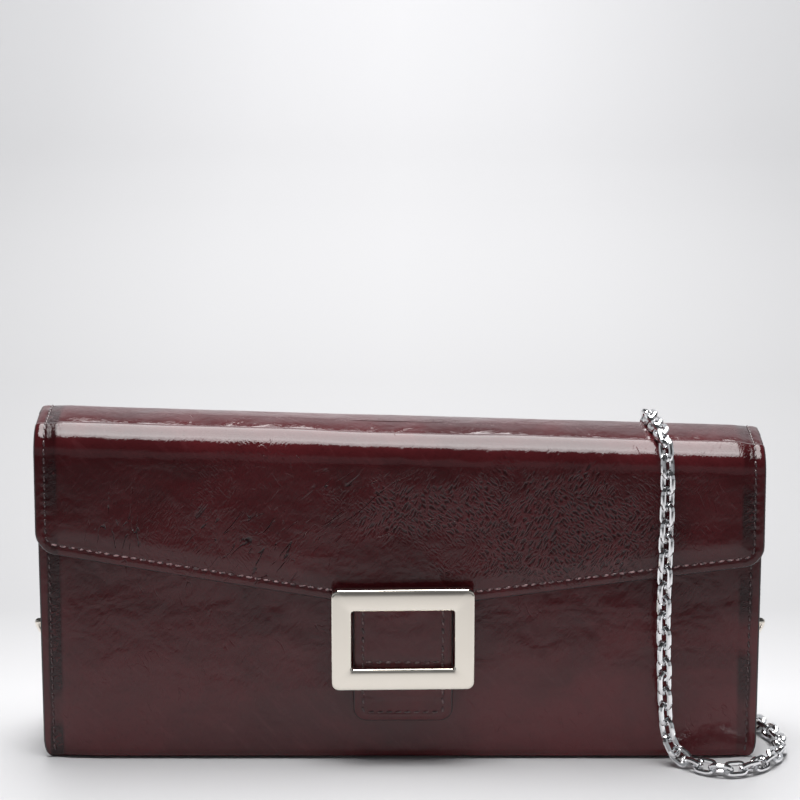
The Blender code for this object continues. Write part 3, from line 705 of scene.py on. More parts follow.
class Panel:
    """A leather panel laid on a track, as two grids of points in metres: its good side and its inner side.

    half(t) is its half width at length t of the track, lengths(x) the lengths of its rows at x, and gaps
    each row's distance from the nearest edge across the track, all in mm, as are the rest. corner is the
    radius of its corners. Its inner side lies DEPTH in, and heel deeper than that along the edges. pad is
    the height of its padding and pressed the share of it that the frame flattens. seed and calm are for its
    ripples, and belly is how far it bulges near the base."""

    DEPTH = 1.3

    def __init__(
        self, track, half, lengths, gaps, pad, seed, corner=0.0, heel=0.0, calm=1.0, belly=0.0, pressed=0.0
    ):
        widest = max(half(t) for t in lengths(0.0))
        columns = stations(widest)
        self.outer = np.zeros((len(gaps), len(columns), 3))
        self.inner = np.zeros_like(self.outer)
        for j, u in enumerate(columns):
            side = widest - abs(u)
            for i, t in enumerate(lengths(u)):
                x, t = round_corner(u * half(t) / widest, t, side, gaps[i], corner)
                distance = min(side, gaps[i])
                y, z = track.read(t)
                out_y, out_z = track.out(t)
                along = x if gaps[i] < side else t
                flat = 1.0 - pressed * math.exp(-(((x - FRAME_X) / 23.0) ** 4))
                lift = margin(distance, pad * flat) + pucker(distance, along)
                lift += ripple(x, z - y, seed, calm) * ease((distance - 2.0) / 6.0)
                lift += belly * (1.0 - ease((z - 9.0) / 42.0)) * ease(distance / 16.0)
                # On the base nothing stands proud, so that the wallet rests flat.
                lift *= 1.0 - (1.0 - out_y**6) * (1.0 - ease(z / 9.0))
                sink = self.DEPTH + heel * (1.0 - ease((distance - 3.8) / 1.0))
                self.outer[i, j] = (x, y + out_y * lift, z + out_z * lift)
                self.inner[i, j] = (x, y - out_y * sink, z - out_z * sink)
        self.outer = settled(self.outer * MM)
        self.inner = settled(self.inner * MM)
        self.normals = normals_of(self.outer, self.inner)

    def sheet(self, name, rims):
        return leather_sheet(name, self.outer, self.inner, rims)

    def seam(self, places):
        return [(self.outer[i, j], self.normals[i, j]) for i, j in places]


# ---- sizes of the body, in mm --------------------------------------------------------------------------

FRONT, BACK = -12.5, 12.5
FLAP_FACE = -17.6
FRAME_X = 0.8  # the frame and the tab sit a little right of the middle
FLAP_HALF, BODY_HALF = 97.05, 96.9
SHOULDER_R = 8.0
SHOULDER = (FLAP_FACE + SHOULDER_R, 82.0)


def crown(y):
    """Height of the roof, which rises gently from the shoulder towards its back."""
    return 90.75 - 0.0051 * (y - 4.0) ** 2


# The radii of the folds at the base, in front and behind, and behind the roof.
BASE_FRONT_R, BASE_BACK_R, ROOF_R = 1.6, 3.0, 5.0
BASE_SEAM = -8.6  # where the front panel and the back panel meet under the base
ROOF_SHARE = 7.5  # how much of the roof, from its middle back, belongs to the back panel
ROOF_BACK = [(ROOF_SHARE - 0.5 * k, crown(ROOF_SHARE - 0.5 * k)) for k in range(1, 16)]
ROOF_FRONT = [(-0.5 * k, crown(-0.5 * k)) for k in range(22)]
FLAP_TRACK = Track([*ROOF_FRONT, *arc(SHOULDER, SHOULDER_R, 98, 180, 40), (FLAP_FACE, 40.0)])
FACE_START = FLAP_TRACK.at[-2]
FRONT_FOLD = arc((FRONT + BASE_FRONT_R, BASE_FRONT_R), BASE_FRONT_R, 180, 270, 16)
FRONT_TRACK = Track([(FRONT, 81.5), *FRONT_FOLD, (BASE_SEAM, 0.0)])
BACK_FOLD = arc((BACK - BASE_BACK_R, BASE_BACK_R), BASE_BACK_R, -90, 0, 16)
ROOF_FOLD = arc((ROOF_SHARE, 85.7), ROOF_R, 0, 90)
BACK_TRACK = Track([(BASE_SEAM, 0.0), *BACK_FOLD, (BACK, 84.8), *ROOF_FOLD, *ROOF_BACK])


def flap_edge(x):
    """Height of the flap's edge: a shallow V, its point under the frame."""
    return 43.5 + 13.9 * (math.hypot(x, 4.0) - 4.0) / 93.5


def flap_length(z):
    return FACE_START + SHOULDER[1] - z


def flap_rows(x):
    over = np.concatenate([np.linspace(0.0, 9.0, 6), np.arange(9.6, 26.5, 0.65)])
    end = flap_length(flap_edge(x))
    near = end - np.array(EDGE_STEPS[::-1], float)
    return np.concatenate([over, np.linspace(over[-1], near[0], 34)[1:-1], near])


def body_half(track):
    """The body is a little narrower at its base, where its corners are rounded, and wider over the roof."""

    def half(t):
        _, z = track.read(t)
        at_base = 2.2 * (1.0 - math.sqrt(max(1.0 - (max(5.0 - z, 0.0) / 5.0) ** 2, 0.0)))
        wider = (FLAP_HALF - BODY_HALF) * ease((z - 80.0) / 9.0)
        return BODY_HALF + wider - 0.5 * max(1.0 - z / 81.5, 0.0) - at_base

    return half


def front_rows(x):
    fold = FRONT_TRACK.length - 2.3 - BASE_FRONT_R * math.pi / 2
    under = np.linspace(fold, FRONT_TRACK.length, 14)[1:]
    return np.concatenate([EDGE_STEPS, np.linspace(10.0, fold, 52), under])


def back_rows(x):
    base = BACK - BASE_BACK_R - BASE_SEAM
    fold = base + BASE_BACK_R * math.pi / 2
    top = fold + 81.8
    pieces = [np.linspace(0.0, base, 8), np.linspace(base, fold, 10)[1:], np.linspace(fold, top, 50)[1:]]
    pieces.append(np.linspace(top, BACK_TRACK.length - ROOF_SHARE, 20)[1:])
    return np.concatenate([*pieces, BACK_TRACK.length - np.linspace(6.0, 0.0, 6)])


# ---- the chain strap -----------------------------------------------------------------------------------

# A link's wire, its width over the wire, and half its straight part, and the pitch of the links, in mm.
WIRE, LINK_WIDTH, LINK_STRAIGHT, LINK_PITCH = 1.36, 4.75, 1.20, 4.30
# The route, in mm: from the left clasp to the coil, from the coil to the foot of the drape, up the back and
# over the flap to the floor in front, and round the right end to the right clasp.
LEFT_RUN = [
    (-83.8, 32.2, 2.6), (-81.6, 35.4, 2.4), (-76.0, 39.0, 2.35), (-66.0, 40.0, 2.35),
    (-54.0, 35.5, 2.35), (-45.0, 31.0, 2.35), (-36.4, 25.1, 2.35),
]
BACK_RUN = [
    (-4.6, 18.0, 2.35), (6.0, 20.3, 2.35), (20.0, 22.8, 2.35), (36.0, 24.0, 2.35),
    (50.0, 23.2, 2.35), (59.0, 21.6, 2.35),
]
DRAPE = [
    (60.4, 21.1, 2.5), (63.5, 20.2, 4.4), (65.7, 18.7, 9.6), (66.4, 17.2, 17.0), (66.5, 15.8, 30.0),
    (66.6, 15.2, 50.0), (66.8, 15.2, 68.0), (67.0, 15.2, 82.0), (67.3, 13.4, 89.8), (67.8, 8.0, 92.9),
    (68.5, 0.0, 92.8), (69.3, -8.0, 92.8), (70.2, -15.8, 91.9), (70.8, -20.2, 86.8), (71.0, -20.5, 78.0),
    (70.8, -20.5, 62.0), (70.5, -20.3, 46.0), (70.8, -19.6, 32.0), (71.2, -19.0, 20.0),
    (71.9, -19.0, 11.0), (73.6, -20.0, 5.0), (76.8, -22.0, 2.35),
]
RIGHT_RUN = [
    (77.9, -23.1, 2.35), (81.0, -26.8, 2.35), (86.8, -29.9, 2.35), (92.8, -28.2, 2.35),
    (98.2, -23.1, 2.35), (102.6, -14.4, 2.35), (103.9, -8.0, 2.35), (103.2, 1.0, 2.35),
    (101.2, 7.0, 2.35), (99.3, 14.0, 2.35), (97.8, 24.0, 2.35), (98.6, 36.0, 2.35),
    (96.5, 45.0, 2.35), (90.5, 49.5, 2.35), (83.5, 48.0, 2.35), (79.8, 42.0, 2.35),
    (81.3, 35.9, 2.4), (83.8, 32.2, 2.6),
]
REAR_FOOT, FRONT_FOOT = (59.7, 21.4, 2.4), (77.4, -22.6, 2.3)  # where the drape begins and ends
COIL_AT = (-15.0, 46.5)


def coil():
    """The spare length behind the wallet: two turns on the floor and two on top of them."""
    joining, wide, narrow, low, high = 30.3, 25.5, 21.1, 2.4, 6.7
    keys = [(225, joining, low), (258, wide, low), (585, wide, low), (640, narrow, low), (950, narrow, low)]
    keys += [(1010, narrow, high), (1300, narrow, high), (1355, wide, high), (1692, wide, high)]
    keys.append((1730, joining, low))
    turns, radii, heights = np.array(keys, float).T
    found = []
    for turn in np.arange(231.0, 1724.0, 6.0):
        k = int(np.searchsorted(turns, turn)) - 1
        share = ease((turn - turns[k]) / (turns[k + 1] - turns[k]))
        radius = radii[k] + (radii[k + 1] - radii[k]) * share
        a = math.radians(turn)
        height = heights[k] + (heights[k + 1] - heights[k]) * share
        found.append((COIL_AT[0] + radius * math.cos(a), COIL_AT[1] + radius * math.sin(a), height))
    return found


def smooth(route):
    """Closely spaced points of a Catmull-Rom curve through the route."""
    points = np.array(route, float)
    points = np.vstack([points[0] * 2 - points[1], points, points[-1] * 2 - points[-2]])
    t = np.linspace(0, 1, 16, endpoint=False)[:, None]
    found = []
    for a, b, c, d in zip(points, points[1:], points[2:], points[3:]):
        curve = b * 2 + (c - a) * t + (a * 2 - b * 5 + c * 4 - d) * t**2 + (b * 3 - a - c * 3 + d) * t**3
        found.append(curve / 2)
    return np.vstack([*found, points[-2:-1]])


def even(points, step=0.5):
    """The same line at even steps, its small kinks averaged away."""
    at = lengths_of(points)
    marks = np.linspace(0.0, at[-1], int(at[-1] / step) + 1)
    line = np.stack([np.interp(marks, at, points[:, c]) for c in range(3)], axis=1)
    for _ in range(3):
        line[2:-2] = (line[:-4] + line[1:-3] + line[2:-2] + line[3:-1] + line[4:]) / 5
    return line


def link_template():
    """One link, in mm: a round-ended ring of octagonal wire, lying in the XY plane along X."""
    reach = (LINK_WIDTH - WIRE) / 2
    line = []
    for start, centre in ((-90, LINK_STRAIGHT), (90, -LINK_STRAIGHT)):
        for k in range(8):
            a = math.radians(start + 180 * k / 7)
            line.append((centre + reach * math.cos(a), reach * math.sin(a), math.cos(a), math.sin(a)))
    points, faces = [], []
    sides, round_out = 8, 1.06  # an octagon this much larger than the wire covers what it does
    for i, (x, y, cx, cy) in enumerate(line):
        here, there = i * sides, (i + 1) % len(line) * sides
        for k in range(sides):
            a = 2 * math.pi * (k + 0.5) / sides
            out, up = math.cos(a) * WIRE / 2 * round_out, math.sin(a) * WIRE / 2 * round_out
            points.append((x + cx * out, y + cy * out, up))
            faces.append((here + k, there + k, there + (k + 1) % sides, here + (k + 1) % sides))
    return np.array(points), np.array(faces)


def chain_strap():
    """One chain in three lengths: behind on the floor, over the flap, and round the right end."""
    rear = np.vstack([smooth(LEFT_RUN), coil(), smooth(BACK_RUN)])
    runs = [even(part) for part in (rear, smooth(DRAPE), smooth(RIGHT_RUN))]
    line = even(np.vstack(runs))
    line = settled(line * MM) / MM
    at = lengths_of(line)
    total = at[-1]
    first_end, second_end = (
        float(at[np.argmin(np.linalg.norm(line - foot, axis=1))]) for foot in (REAR_FOOT, FRONT_FOOT)
    )
    count = int(round(total / LINK_PITCH))
    pitch = total / count
    template, ring = link_template()
    tangents = np.gradient(line, axis=0)
    tangents /= np.linalg.norm(tangents, axis=1, keepdims=True)
    # The chain's flat side faces away from what it lies on: up on the floor, outward where it hangs.
    upright = np.clip((np.abs(tangents[:, 2:3]) - 0.35) / 0.5, 0.0, 1.0)
    ups = (1.0 - upright) * (0.0, 0.0, 1.0) + upright * np.sign(line[:, 1:2]) * (0.0, 1.0, 0.0)
    marks = {
        "chain_rear": (0.0, first_end),
        "chain_over": (first_end, second_end),
        "chain_front": (second_end, total),
    }
    lengths = {name: [] for name in marks}
    for i in range(count):
        middle = (i + 0.5) * pitch
        k = min(int(np.searchsorted(at, middle)), len(line) - 1)
        before, after = np.searchsorted(at, (middle - 1.6, middle + 1.6)).clip(0, len(line) - 1)
        along = line[after] - line[before]
        along /= np.linalg.norm(along)
        # Neighbouring links stand crosswise, each at about 45 degrees to the surface.
        roll = math.radians(45 + 90 * (i % 2)) + 0.16 * uneven(i * 1.7, 3.1, 0.0)
        up = ups[k] - along * (ups[k] @ along)
        up /= np.linalg.norm(up)
        aside = np.cross(up, along)
        across = aside * math.cos(roll) + up * math.sin(roll)
        normal = np.cross(along, across)
        name = next((name for name, (_, high) in marks.items() if middle < high), "chain_front")
        placed = line[k] + template @ np.array([along, across, normal])
        lengths[name].append(placed * MM)
    made = {}
    for name, links in lengths.items():
        faces = np.vstack([ring + len(template) * i for i in range(len(links))])
        obj = mesh_from(name, np.vstack(links), faces.tolist(), (CHAIN,))
        obj.data.set_sharp_from_angle(angle=math.radians(32))
        low, high = marks[name]
        inside = (at >= low) & (at <= high)
        path = line[inside][::3] * MM
        made[name] = (obj, path, float(np.linalg.norm(np.diff(path, axis=0), axis=1).sum()))
    for name, nodes in (
        ("chain_rear", ("chain_left", "chain_coil", "chain_back")),
        ("chain_over", ("chain_drape",)),
        ("chain_front", ("chain_right",)),
    ):
        obj, path, length = made[name]
        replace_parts(obj, *nodes)
        if name == "chain_over":
            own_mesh(obj)
        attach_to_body(obj, "shell")


# ---- leather body --------------------------------------------------------------------------------------


def over_rear_fold(obj):
    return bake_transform(obj)


def over_front_fold(obj):
    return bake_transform(obj)


def over_base_fold(obj):
    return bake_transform(obj)


def stitched(name, panel, places, attach):
    """A row of stitches along these places of a panel's grid."""
    attach(stitches(name, panel.seam(places)))


def leather_body():
    """The flap, the front, and the back with the base and the roof, each with its stitching."""
    last = -1 - SEAM
    rows = flap_rows(0.0)
    gaps = [FAR_AWAY] * (len(rows) - len(EDGE_STEPS)) + EDGE_STEPS[::-1]
    flap = Panel(
        FLAP_TRACK, lambda t: FLAP_HALF, flap_rows, gaps, 0.52, seed=2.0, corner=4.8, heel=1.05, pressed=0.85
    )
    sheet = flap.sheet("flap_leather", (False, True, True, True))
    over_front_fold(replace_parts(sheet, "flap_front"))
    tall, wide = flap.outer.shape[:2]
    border = [(i, SEAM) for i in range(0, tall + last)]
    border += [(tall + last, j) for j in range(SEAM, wide + last)]
    border += [(i, wide + last) for i in range(tall + last, -1, -1)]
    stitched("flap_stitching", flap, border, over_front_fold)

    rows = front_rows(0.0)
    gaps = EDGE_STEPS + [FAR_AWAY] * (len(rows) - len(EDGE_STEPS))
    half = body_half(FRONT_TRACK)
    front = Panel(FRONT_TRACK, half, front_rows, gaps, 0.45, seed=31.0, calm=0.8, belly=0.9)
    sheet = front.sheet("front_leather", (True, False, True, True))
    over_base_fold(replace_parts(sheet, "shell_front"))
    tall, wide = front.outer.shape[:2]
    above_fold = tall - 13  # the last 13 rows turn under the base
    for name, j in (("left", SEAM), ("right", wide + last)):
        stitched(f"front_stitching_{name}", front, [(i, j) for i in range(SEAM, above_fold)], over_base_fold)
    top = [(SEAM, j) for j in range(SEAM + 1, wide + last)]
    stitched("front_stitching_top", front, top, over_base_fold)

    rows = back_rows(0.0)
    gaps = [FAR_AWAY] * len(rows)
    back = Panel(BACK_TRACK, body_half(BACK_TRACK), back_rows, gaps, 0.2, seed=57.0, calm=0.7)
    sheet = back.sheet("back_leather", (False, False, True, True))
    over_rear_fold(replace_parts(sheet, "shell_back", "flap_roof"))
    tall, wide = back.outer.shape[:2]
    base_end = 16  # the first 16 rows lie under the base
    for name, j in (("left", SEAM), ("right", wide + last)):
        stitched(f"back_stitching_{name}", back, [(i, j) for i in range(base_end, tall)], over_rear_fold)


# ---- tab, frame and snap -------------------------------------------------------------------------------


def tab():
    """The stitched tab under the frame, tucked behind it at the top and curling in at its end."""
    half, corner, seam, thick = 13.0, 3.2, 2.3, 1.0
    cross_z, crease_z = 29.3, 19.6  # the seam across it, and the fold where the frame's lower bar presses
    track = Track([(-19.7, 47.6), (-19.75, 30.0), (-19.7, 20.0), (-19.35, 16.0), (-18.9, 12.6)])
    near = [0, 0.06, 0.18, 0.36, 0.6, 0.9, 1.25, 1.6, 1.95, seam, 2.65, 3.0, 3.4, 3.9, 4.5, 5.2, 6.0]
    near = np.array(near)
    columns = np.concatenate([near - half, np.linspace(-6.4, 6.4, 17), (half - near)[::-1]])
    lengths = np.concatenate([np.linspace(0.0, track.length - 6.6, 44), (track.length - near)[::-1]])
    outer = np.zeros((len(lengths), len(columns), 3))
    inner = np.zeros_like(outer)
    for j, u in enumerate(columns):
        side = half - abs(u)
        for i, t in enumerate(lengths):
            gap = track.length - t
            x, s = round_corner(u, t, side, gap, corner)
            distance = min(side, gap)
            y, z = track.read(s)
            out_y, out_z = track.out(s)
            lift = margin(distance, 0.30, seam)
            lift += 0.10 * uneven(x / 7.0, z / 5.0, 9.0) * ease(distance / 4)
            lift -= 0.16 * math.exp(-(((z - cross_z) / 0.5) ** 2)) * ease(distance / 3.0)
            fold = z - crease_z - 0.5 * uneven(x / 4.0, 5.0, 2.0)
            lift -= 0.28 * math.exp(-((fold / 0.7) ** 2)) * ease(distance / 2.6)
            outer[i, j] = (FRAME_X + x, y + out_y * lift, z + out_z * lift)
            inner[i, j] = (FRAME_X + x, y - out_y * thick, z - out_z * thick)
    outer, inner = outer * MM, inner * MM
    sheet = leather_sheet("tab_leather", outer, inner, (False, True, True, True), bead=0.35)
    fit(sheet, "tab", "flap_drop")
    normals = normals_of(outer, inner)
    at = list(near).index(seam)
    last_row, last_column = len(lengths) - 1 - at, len(columns) - 1 - at
    places = [(i, at) for i in range(2, last_row)] + [(last_row, j) for j in range(at, last_column)]
    places += [(i, last_column) for i in range(last_row, 1, -1)]
    cross = int(np.argmin(np.abs(outer[:, len(columns) // 2, 2] - cross_z * MM)))
    across = [(cross, j) for j in range(at + 1, last_column)]
    for name, line, lean in (("tab_stitching", places, 0.2), ("tab_cross_stitching", across, 0.10)):
        row = stitches(name, [(outer[p], normals[p]) for p in line], lean=lean)
        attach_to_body(row, "flap_drop")


def rounded_ring(half_x, half_z, radius, steps=10):
    """A rectangle's outline with round corners, as many points whatever its size."""
    points = []
    for start, cx, cz in ((0, 1, 1), (90, -1, 1), (180, -1, -1), (270, 1, -1)):
        for k in range(steps + 1):
            a = math.radians(start + 90 * k / steps)
            x = cx * (half_x - radius) + radius * math.cos(a)
            points.append((x, cz * (half_z - radius) + radius * math.sin(a)))
    return points


def buckle():
    """The frame: a flat, faintly domed face with a crisp bevel along its outer and its inner edge."""
    back, centre = -19.9, 35.95
    half_x, half_z, bar, rail = 19.2, 14.0, 5.45, 6.0  # half its size, and the upright and the long bars
    # The section from the outer edge to the inner one, as shares of the bar's width and heights in mm.
    edge = [(0.0, 0.0), (0.0, 1.9), (0.03, 2.12), (0.10, 2.32), (0.22, 2.48), (0.38, 2.58), (0.6, 2.63)]
    section = [(inset / 5.4, height) for inset, height in edge]
    face = [(0.33, 2.69), (0.5, 2.71), (0.67, 2.69)]
    section += face + [(1.0 - share, height) for share, height in section[::-1]]
    points = []
    for inset, height in section:
        outline = rounded_ring(half_x - inset * bar, half_z - inset * rail, 2.1 - 1.3 * inset)
        for x, z in outline:
            # The long bars bow out, the top stands proud, and the frame is a touch higher at its right.
            bow = 0.12 * (1.0 - (x / half_x) ** 2) * height / 2.7
            lean = 0.035 * max(z, 0.0)
            y = back - height - bow - lean
            points.append(((FRAME_X + x) * MM, y * MM, (centre + z + 0.010 * x) * MM))
    faces = lofted(len(section), len(outline), round_it=True)
    frame_ring = face_out(mesh_from("buckle_ring", points, faces, (NICKEL,)))
    frame_ring.data.set_sharp_from_angle(angle=math.radians(50))
    fit(frame_ring, "buckle_frame", "flap_drop")
    post = [(0, 0), (1.2, 0), (1.2, 3.3), (0, 3.3)]
    posts = joined("buckle_posts", [turned("post", (FRAME_X + x, -16.6, 45.6), post) for x in (-11.0, 11.0)])
    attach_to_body(posts, "flap_drop")


def turned(name, at, profile, steps=40):
    """A metal piece turned round an axis along Y: radii and heights towards the front, from at, in mm."""
    points = []
    for radius, height in profile:
        for k in range(steps):
            a = 2 * math.pi * k / steps
            x, z = at[0] + radius * math.cos(a), at[2] + radius * math.sin(a)
            points.append((x * MM, (at[1] - height) * MM, z * MM))
    obj = mesh_from(name, points, lofted(len(profile), steps), (NICKEL,))
    with editing(obj) as shape:
        bmesh.ops.remove_doubles(shape, verts=shape.verts, dist=1e-6)
        bmesh.ops.dissolve_degenerate(shape, dist=1e-7, edges=shape.edges)
        bmesh.ops.recalc_face_normals(shape, faces=shape.faces)
    obj.data.set_sharp_from_angle(angle=math.radians(40))
    return obj


def snap():
    """The snap behind the tab: a stud on the flap's side and a socket with its rim on the front panel."""
    high = 27.0
    post = [(0, 0), (2.1, 0), (2.35, 0.3), (2.35, 1.0), (2.0, 1.4), (2.2, 1.6)]
    cap = [(5.6, 1.65), (6.2, 1.9), (6.2, 2.5), (5.6, 2.75), (0, 2.75)]
    stud = turned("snap_stud", (0.0, -15.0, high), post + cap)
    fit(stud, "snap_male", "flap_drop")
    bowl = [(0, 1.3), (3.3, 1.3), (3.3, 2.9), (3.6, 3.25), (4.3, 3.3), (4.8, 3.0)]
    rim = [(5.6, 2.7), (6.6, 2.6), (7.0, 2.2), (7.0, 0.3), (6.6, 0.0), (0, 0.0)]
    cup = turned("snap_socket", (0.0, -12.7, high), bowl + rim)
    fit(cup, "snap_female", "front_panel")
    disc = turned("snap_back", (0.0, -10.7, high), [(0, 0), (6.0, 0), (6.5, 0.15), (6.5, 0.4), (0, 0.5)])
    fit(disc, "snap_washer", "front_panel")


# ---- copies of the plainer pieces ----------------------------------------------------------------------


def refined(node, name, body, material, slot, bevel=0.15, settle=True, segments=2):
    """A piece over a CAD node, on its own shape: settled with the leather, its edges softened."""
    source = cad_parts[node].data
    points = np.array([v.co for v in source.vertices])
    faces = [tuple(polygon.vertices) for polygon in source.polygons]
    obj = mesh_from(name, settled(points) if settle else points, faces, (material,))
    with editing(obj) as shape:
        bmesh.ops.remove_doubles(shape, verts=shape.verts, dist=2e-6)
        flat = math.radians(1.0)
        bmesh.ops.dissolve_limit(shape, angle_limit=flat, verts=shape.verts, edges=shape.edges)
        bmesh.ops.recalc_face_normals(shape, faces=shape.faces)
    if bevel:
        soften = obj.modifiers.new("bevel", "BEVEL")
        soften.width = bevel * MM
        soften.segments = segments
        soften.limit_method = "ANGLE"
        soften.angle_limit = math.radians(35)
        soften.harden_normals = True
    return fit(obj, node, body)


def hem(name, points, outward, body, **how):
    """A row of stitches along a straight or bent line given in mm."""
    line = settled(np.array(points, float) * MM)
    row = stitches(name, [(p, np.array(outward, float)) for p in line], **how)
    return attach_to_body(row, body)


def linings():
    """The lining inside: over the front, the back, the base, and round the whole inside of the flap."""
    for part, body in (("front", "front_panel"), ("back", "shell"), ("base", "shell")):
        refined(f"{part}_lining", f"{part}_inner_lining", body, LINING, "lining")
    for part, body in (("front", "front_panel"), ("back", "shell"), ("flap", "flap_drop")):
        refined(f"{part}_filler", f"{part}_board", body, BOARD, "board", bevel=0)
    refined("tab_lining", "tab_underside", "flap_drop", LINING, "lining", settle=False)

    half, near = 96.4, np.array([0, 0.3, 0.8, 1.6, 2.4, 3.4])
    columns = np.concatenate([near - half, np.linspace(-92, 92, 70), (half - near)[::-1]])

    def layer(track, lengths_at, depth, shallow):
        """One side of the lining: depth under the good side, and shallow less at the track's start."""
        grid = np.zeros((len(lengths_at(0.0)), len(columns), 3))
        for j, x in enumerate(columns):
            for i, t in enumerate(lengths_at(x)):
                y, z = track.read(t)
                out_y, out_z = track.out(t)
                reach = depth - shallow * (1.0 - ease((t - 2.0) / 16.0))
                reach += 0.12 * uneven(x / 21.0, (z - y) / 14.0, 77.0)
                grid[i, j] = (x, y - out_y * reach, z - out_z * reach)
        return settled(grid * MM)

    def over_roof(x):
        start = BACK_TRACK.length - ROOF_SHARE - ROOF_R * math.pi / 2 - 1.2
        return np.linspace(start, BACK_TRACK.length, 26)

    def down_front(x):
        end = flap_length(flap_edge(x)) - 0.35
        over = np.concatenate([np.linspace(0.0, 9.0, 5), np.arange(9.6, 24.0, 0.9)])
        return np.concatenate([over, np.linspace(over[-1], end, 30)[1:]])

    def lined(name, node, sides, first_rim, attach):
        rims = (first_rim, not first_rim, True, True)
        sheet = leather_sheet(name, *sides, rims, materials=(LINING, LINING, LINING), bead=0.2)
        attach(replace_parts(sheet, node))

    roof = [layer(BACK_TRACK, over_roof, depth, 0.0) for depth in (1.85, 1.32)]
    lined("roof_inner_lining", "flap_roof_lining", roof, True, over_rear_fold)
    front = [layer(FLAP_TRACK, down_front, depth, 1.0) for depth in (2.85, 2.36)]
    lined("flap_inner_lining", "flap_front_lining", front, False, over_front_fold)


def gussets():
    """Pleated gussets: each side folds in twice between the front and the back panel."""
    legs = [(95.6, 10.95), (93.6, 10.95), (91.3, 10.5), (88.4, 7.4)]
    legs += [(87.3, 5.3), (89.2, 3.2), (92.4, 1.1), (93.7, 0.0)]
    plan = smooth([(x, y, 0.0) for x, y in legs])[::4, :2]
    run = np.gradient(plan, axis=0)
    run /= np.linalg.norm(run, axis=1, keepdims=True)
    levels = np.linspace(3.4, 79.5, 34)
    half_thick, flat_y = 0.32, 10.9  # where the gusset lies flat on the panel
    for side, sign in (("left", -1), ("right", 1)):
        for end, turn in (("front", -1), ("rear", 1)):
            grids = []
            for shift in (half_thick, -half_thick):
                grid = np.zeros((len(levels), len(plan), 3))
                for i, z in enumerate(levels):
                    for j, (x, y) in enumerate(plan):
                        give = 0.25 * uneven(sign * 3.0, y * turn / 6.0, z / 13.0)
                        give *= ease(abs(flat_y - y) / 3)
                        give += 0.9 * ease((8.0 - z) / 5.0) * ease((flat_y - y) / 5.0)
                        nx, ny = run[j][1], -run[j][0]
                        # The end on the centre line stays on it, so that the two legs meet.
                        ny *= ease(y / 0.6)
                        grid[i, j] = (sign * (x + nx * shift + give * 0.6), turn * (y + ny * shift), z)
                grids.append(settled(grid * MM))
            name, rims = f"gusset_fold_{side}_{end}", (True, True, True, False)
            obj = leather_sheet(name, *grids, rims, materials=(LINING, EDGE, LINING), bead=0.1)
            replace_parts(obj, f"gusset_{side}_{end}")
            if end == "rear":
                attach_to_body(obj, "shell")
            else:
                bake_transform(obj)


def pockets():
    """Card leaves against the back, and the zipped coin pocket in the middle."""
    for node, top, face in (
        ("card_leaf_upper", 75.0, 8.35),
        ("card_leaf_middle", 66.0, 6.9),
        ("card_leaf_lower", 57.0, 5.45),
    ):
        refined(node, node.replace("card_leaf", "card_pocket"), "shell", LINING, "lining", bevel=0.12)
        for side, sign in (("left", -1), ("right", 1)):
            ends = [(sign * 2.4, face, top - 1.6), (sign * 82.0, face, top - 1.6)]
            hem(f"{node}_hem_{side}", ends, (0, -1, 0), "shell", length=1.5, width=0.42, pitch=2.2)
    divider = [(0.0, 5.45, 4.5), (0.0, 5.45, 54.0)]
    hem("card_divider_seam", divider, (0, -1, 0), "shell", length=1.6, width=0.45)
    for side, y, out in (("front", -4.8, -1), ("back", 4.0, 1)):
        refined(f"coin_wall_{side}", f"coin_pocket_{side}", "shell", LINING, "lining", bevel=0.2)
        for z in (59.6, 61.2):
            row = [(-84.0, y, z), (84.0, y, z)]
            hem(f"coin_hem_{side}_{int(z)}", row, (0, out, 0), "shell", length=1.5, width=0.42, pitch=2.2)
    refined("coin_side_strip", "coin_pocket_sides", "shell", LINING, "lining", bevel=0.1)


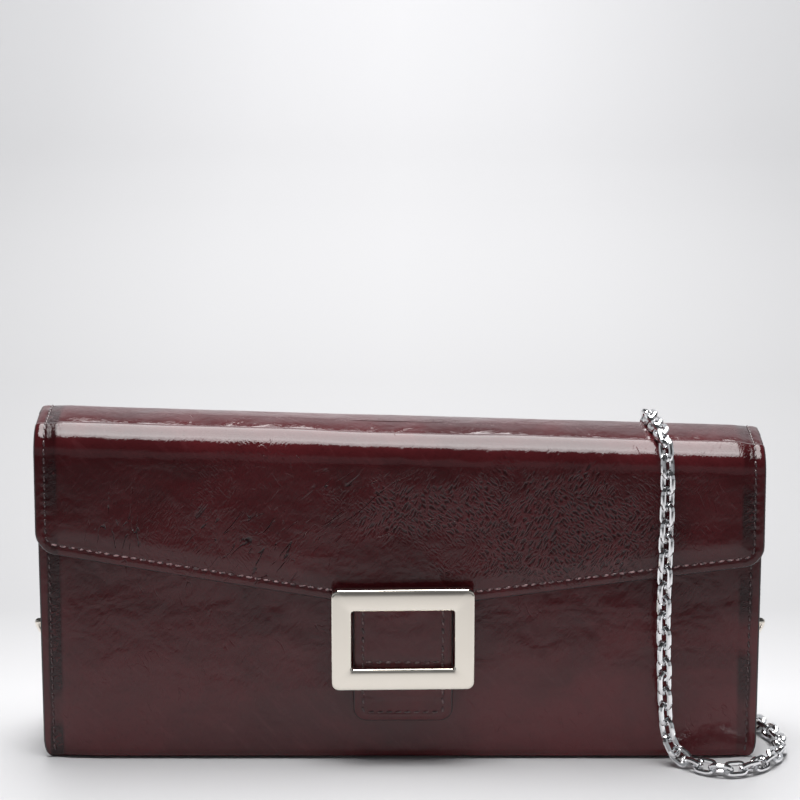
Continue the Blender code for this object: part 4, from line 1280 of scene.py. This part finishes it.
def zip_fastener():
    """The zip: woven tapes, two rows of teeth that reach between each other, the slider and its puller."""
    pitch, half, centre = 2.1, 80.0, -0.4
    outline = [(-0.55, -1.05), (0.55, -1.05), (0.62, 0.2), (0.42, 0.75)]
    outline += [(0.0, 1.0), (-0.42, 0.75), (-0.62, 0.2)]
    levels = ((59.85, 0.82), (60.1, 1.0), (61.1, 1.0), (61.35, 0.82))  # heights, and the tooth's size there
    n = len(outline)
    for side in ("front", "back"):
        refined(f"zip_tape_{side}", f"zip_cloth_{side}", "shell", TAPE, "zip_tape", bevel=0.1, settle=False)
    for side, sign in (("front", -1), ("back", 1)):
        points, faces = [], []
        for k in range(int(2 * half / pitch)):
            x = -half + pitch * (k + 0.5 + (0.0 if sign < 0 else 0.5))
            if x > half - 0.8:
                continue
            first = len(points)
            for level, grow in levels:
                for px, py in outline:
                    y = centre + sign * (0.95 - py * 0.78 * grow)
                    points.append(((x + px * grow) * MM, y * MM, level * MM))
            faces += lofted(len(levels), n, first)
            faces.append(tuple(first + i for i in range(n)))
            faces.append(tuple(first + (len(levels) - 1) * n + i for i in range(n)))
        teeth = face_out(mesh_from(f"zip_row_{side}", points, faces, (TEETH,), smooth=False))
        fit(teeth, f"zip_teeth_{side}", "shell")
    moving = {"bevel": 0.25, "settle": False, "segments": 3}
    refined("zip_slider", "slider_body", "slider", NICKEL, "nickel", **moving)
    refined("zip_puller", "slider_pull", "puller", NICKEL, "nickel", **moving)


def fittings():
    """Chapes, D-rings and clasps at the back, and the frame's plate and screws."""

    def metal_copy(node, name, body, bevel, segments=2):
        return refined(node, name, body, NICKEL, "nickel", bevel, settle=False, segments=segments)

    for side, x in (("left", -91.5), ("right", 91.5)):
        chape = (f"chape_{side}", f"chape_strap_{side}", "shell", LEATHER, "patent_leather")
        refined(*chape, bevel=0.25, settle=False)
        ring = metal_copy(f"ring_{side}", f"d_ring_{side}_bow", f"d_ring_{side}", 0)
        smoother = ring.modifiers.new("smooth", "SUBSURF")
        smoother.levels = smoother.render_levels = 1
        for part, body in (("clasp_hook", "shell"), ("clasp_gate", f"gate_{side}"), ("clasp_pin", "shell")):
            metal_copy(f"{part}_{side}", f"{part}_{side}_metal", body, 0.22, segments=3)
        metal_copy(f"buckle_screw_{side}", f"frame_screw_{side}", "flap_drop", 0.1)
        for z, name in ((41.6, "top"), (37.6, "low")):
            ends = [np.array((x + reach, 15.26, z)) * MM for reach in (-3.0, 3.0)]
            line = [(end, np.array((0.0, 1.0, 0.0))) for end in ends]
            row = stitches(f"chape_stitching_{side}_{name}", line, length=1.5, width=0.45, pitch=2.0)
            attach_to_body(row, "shell")
    metal_copy("buckle_plate", "frame_plate", "flap_drop", 0.1)


chain_strap()
floor_and_light()
leather_body()
tab()
buckle()
snap()
linings()
gussets()
pockets()
zip_fastener()
fittings()
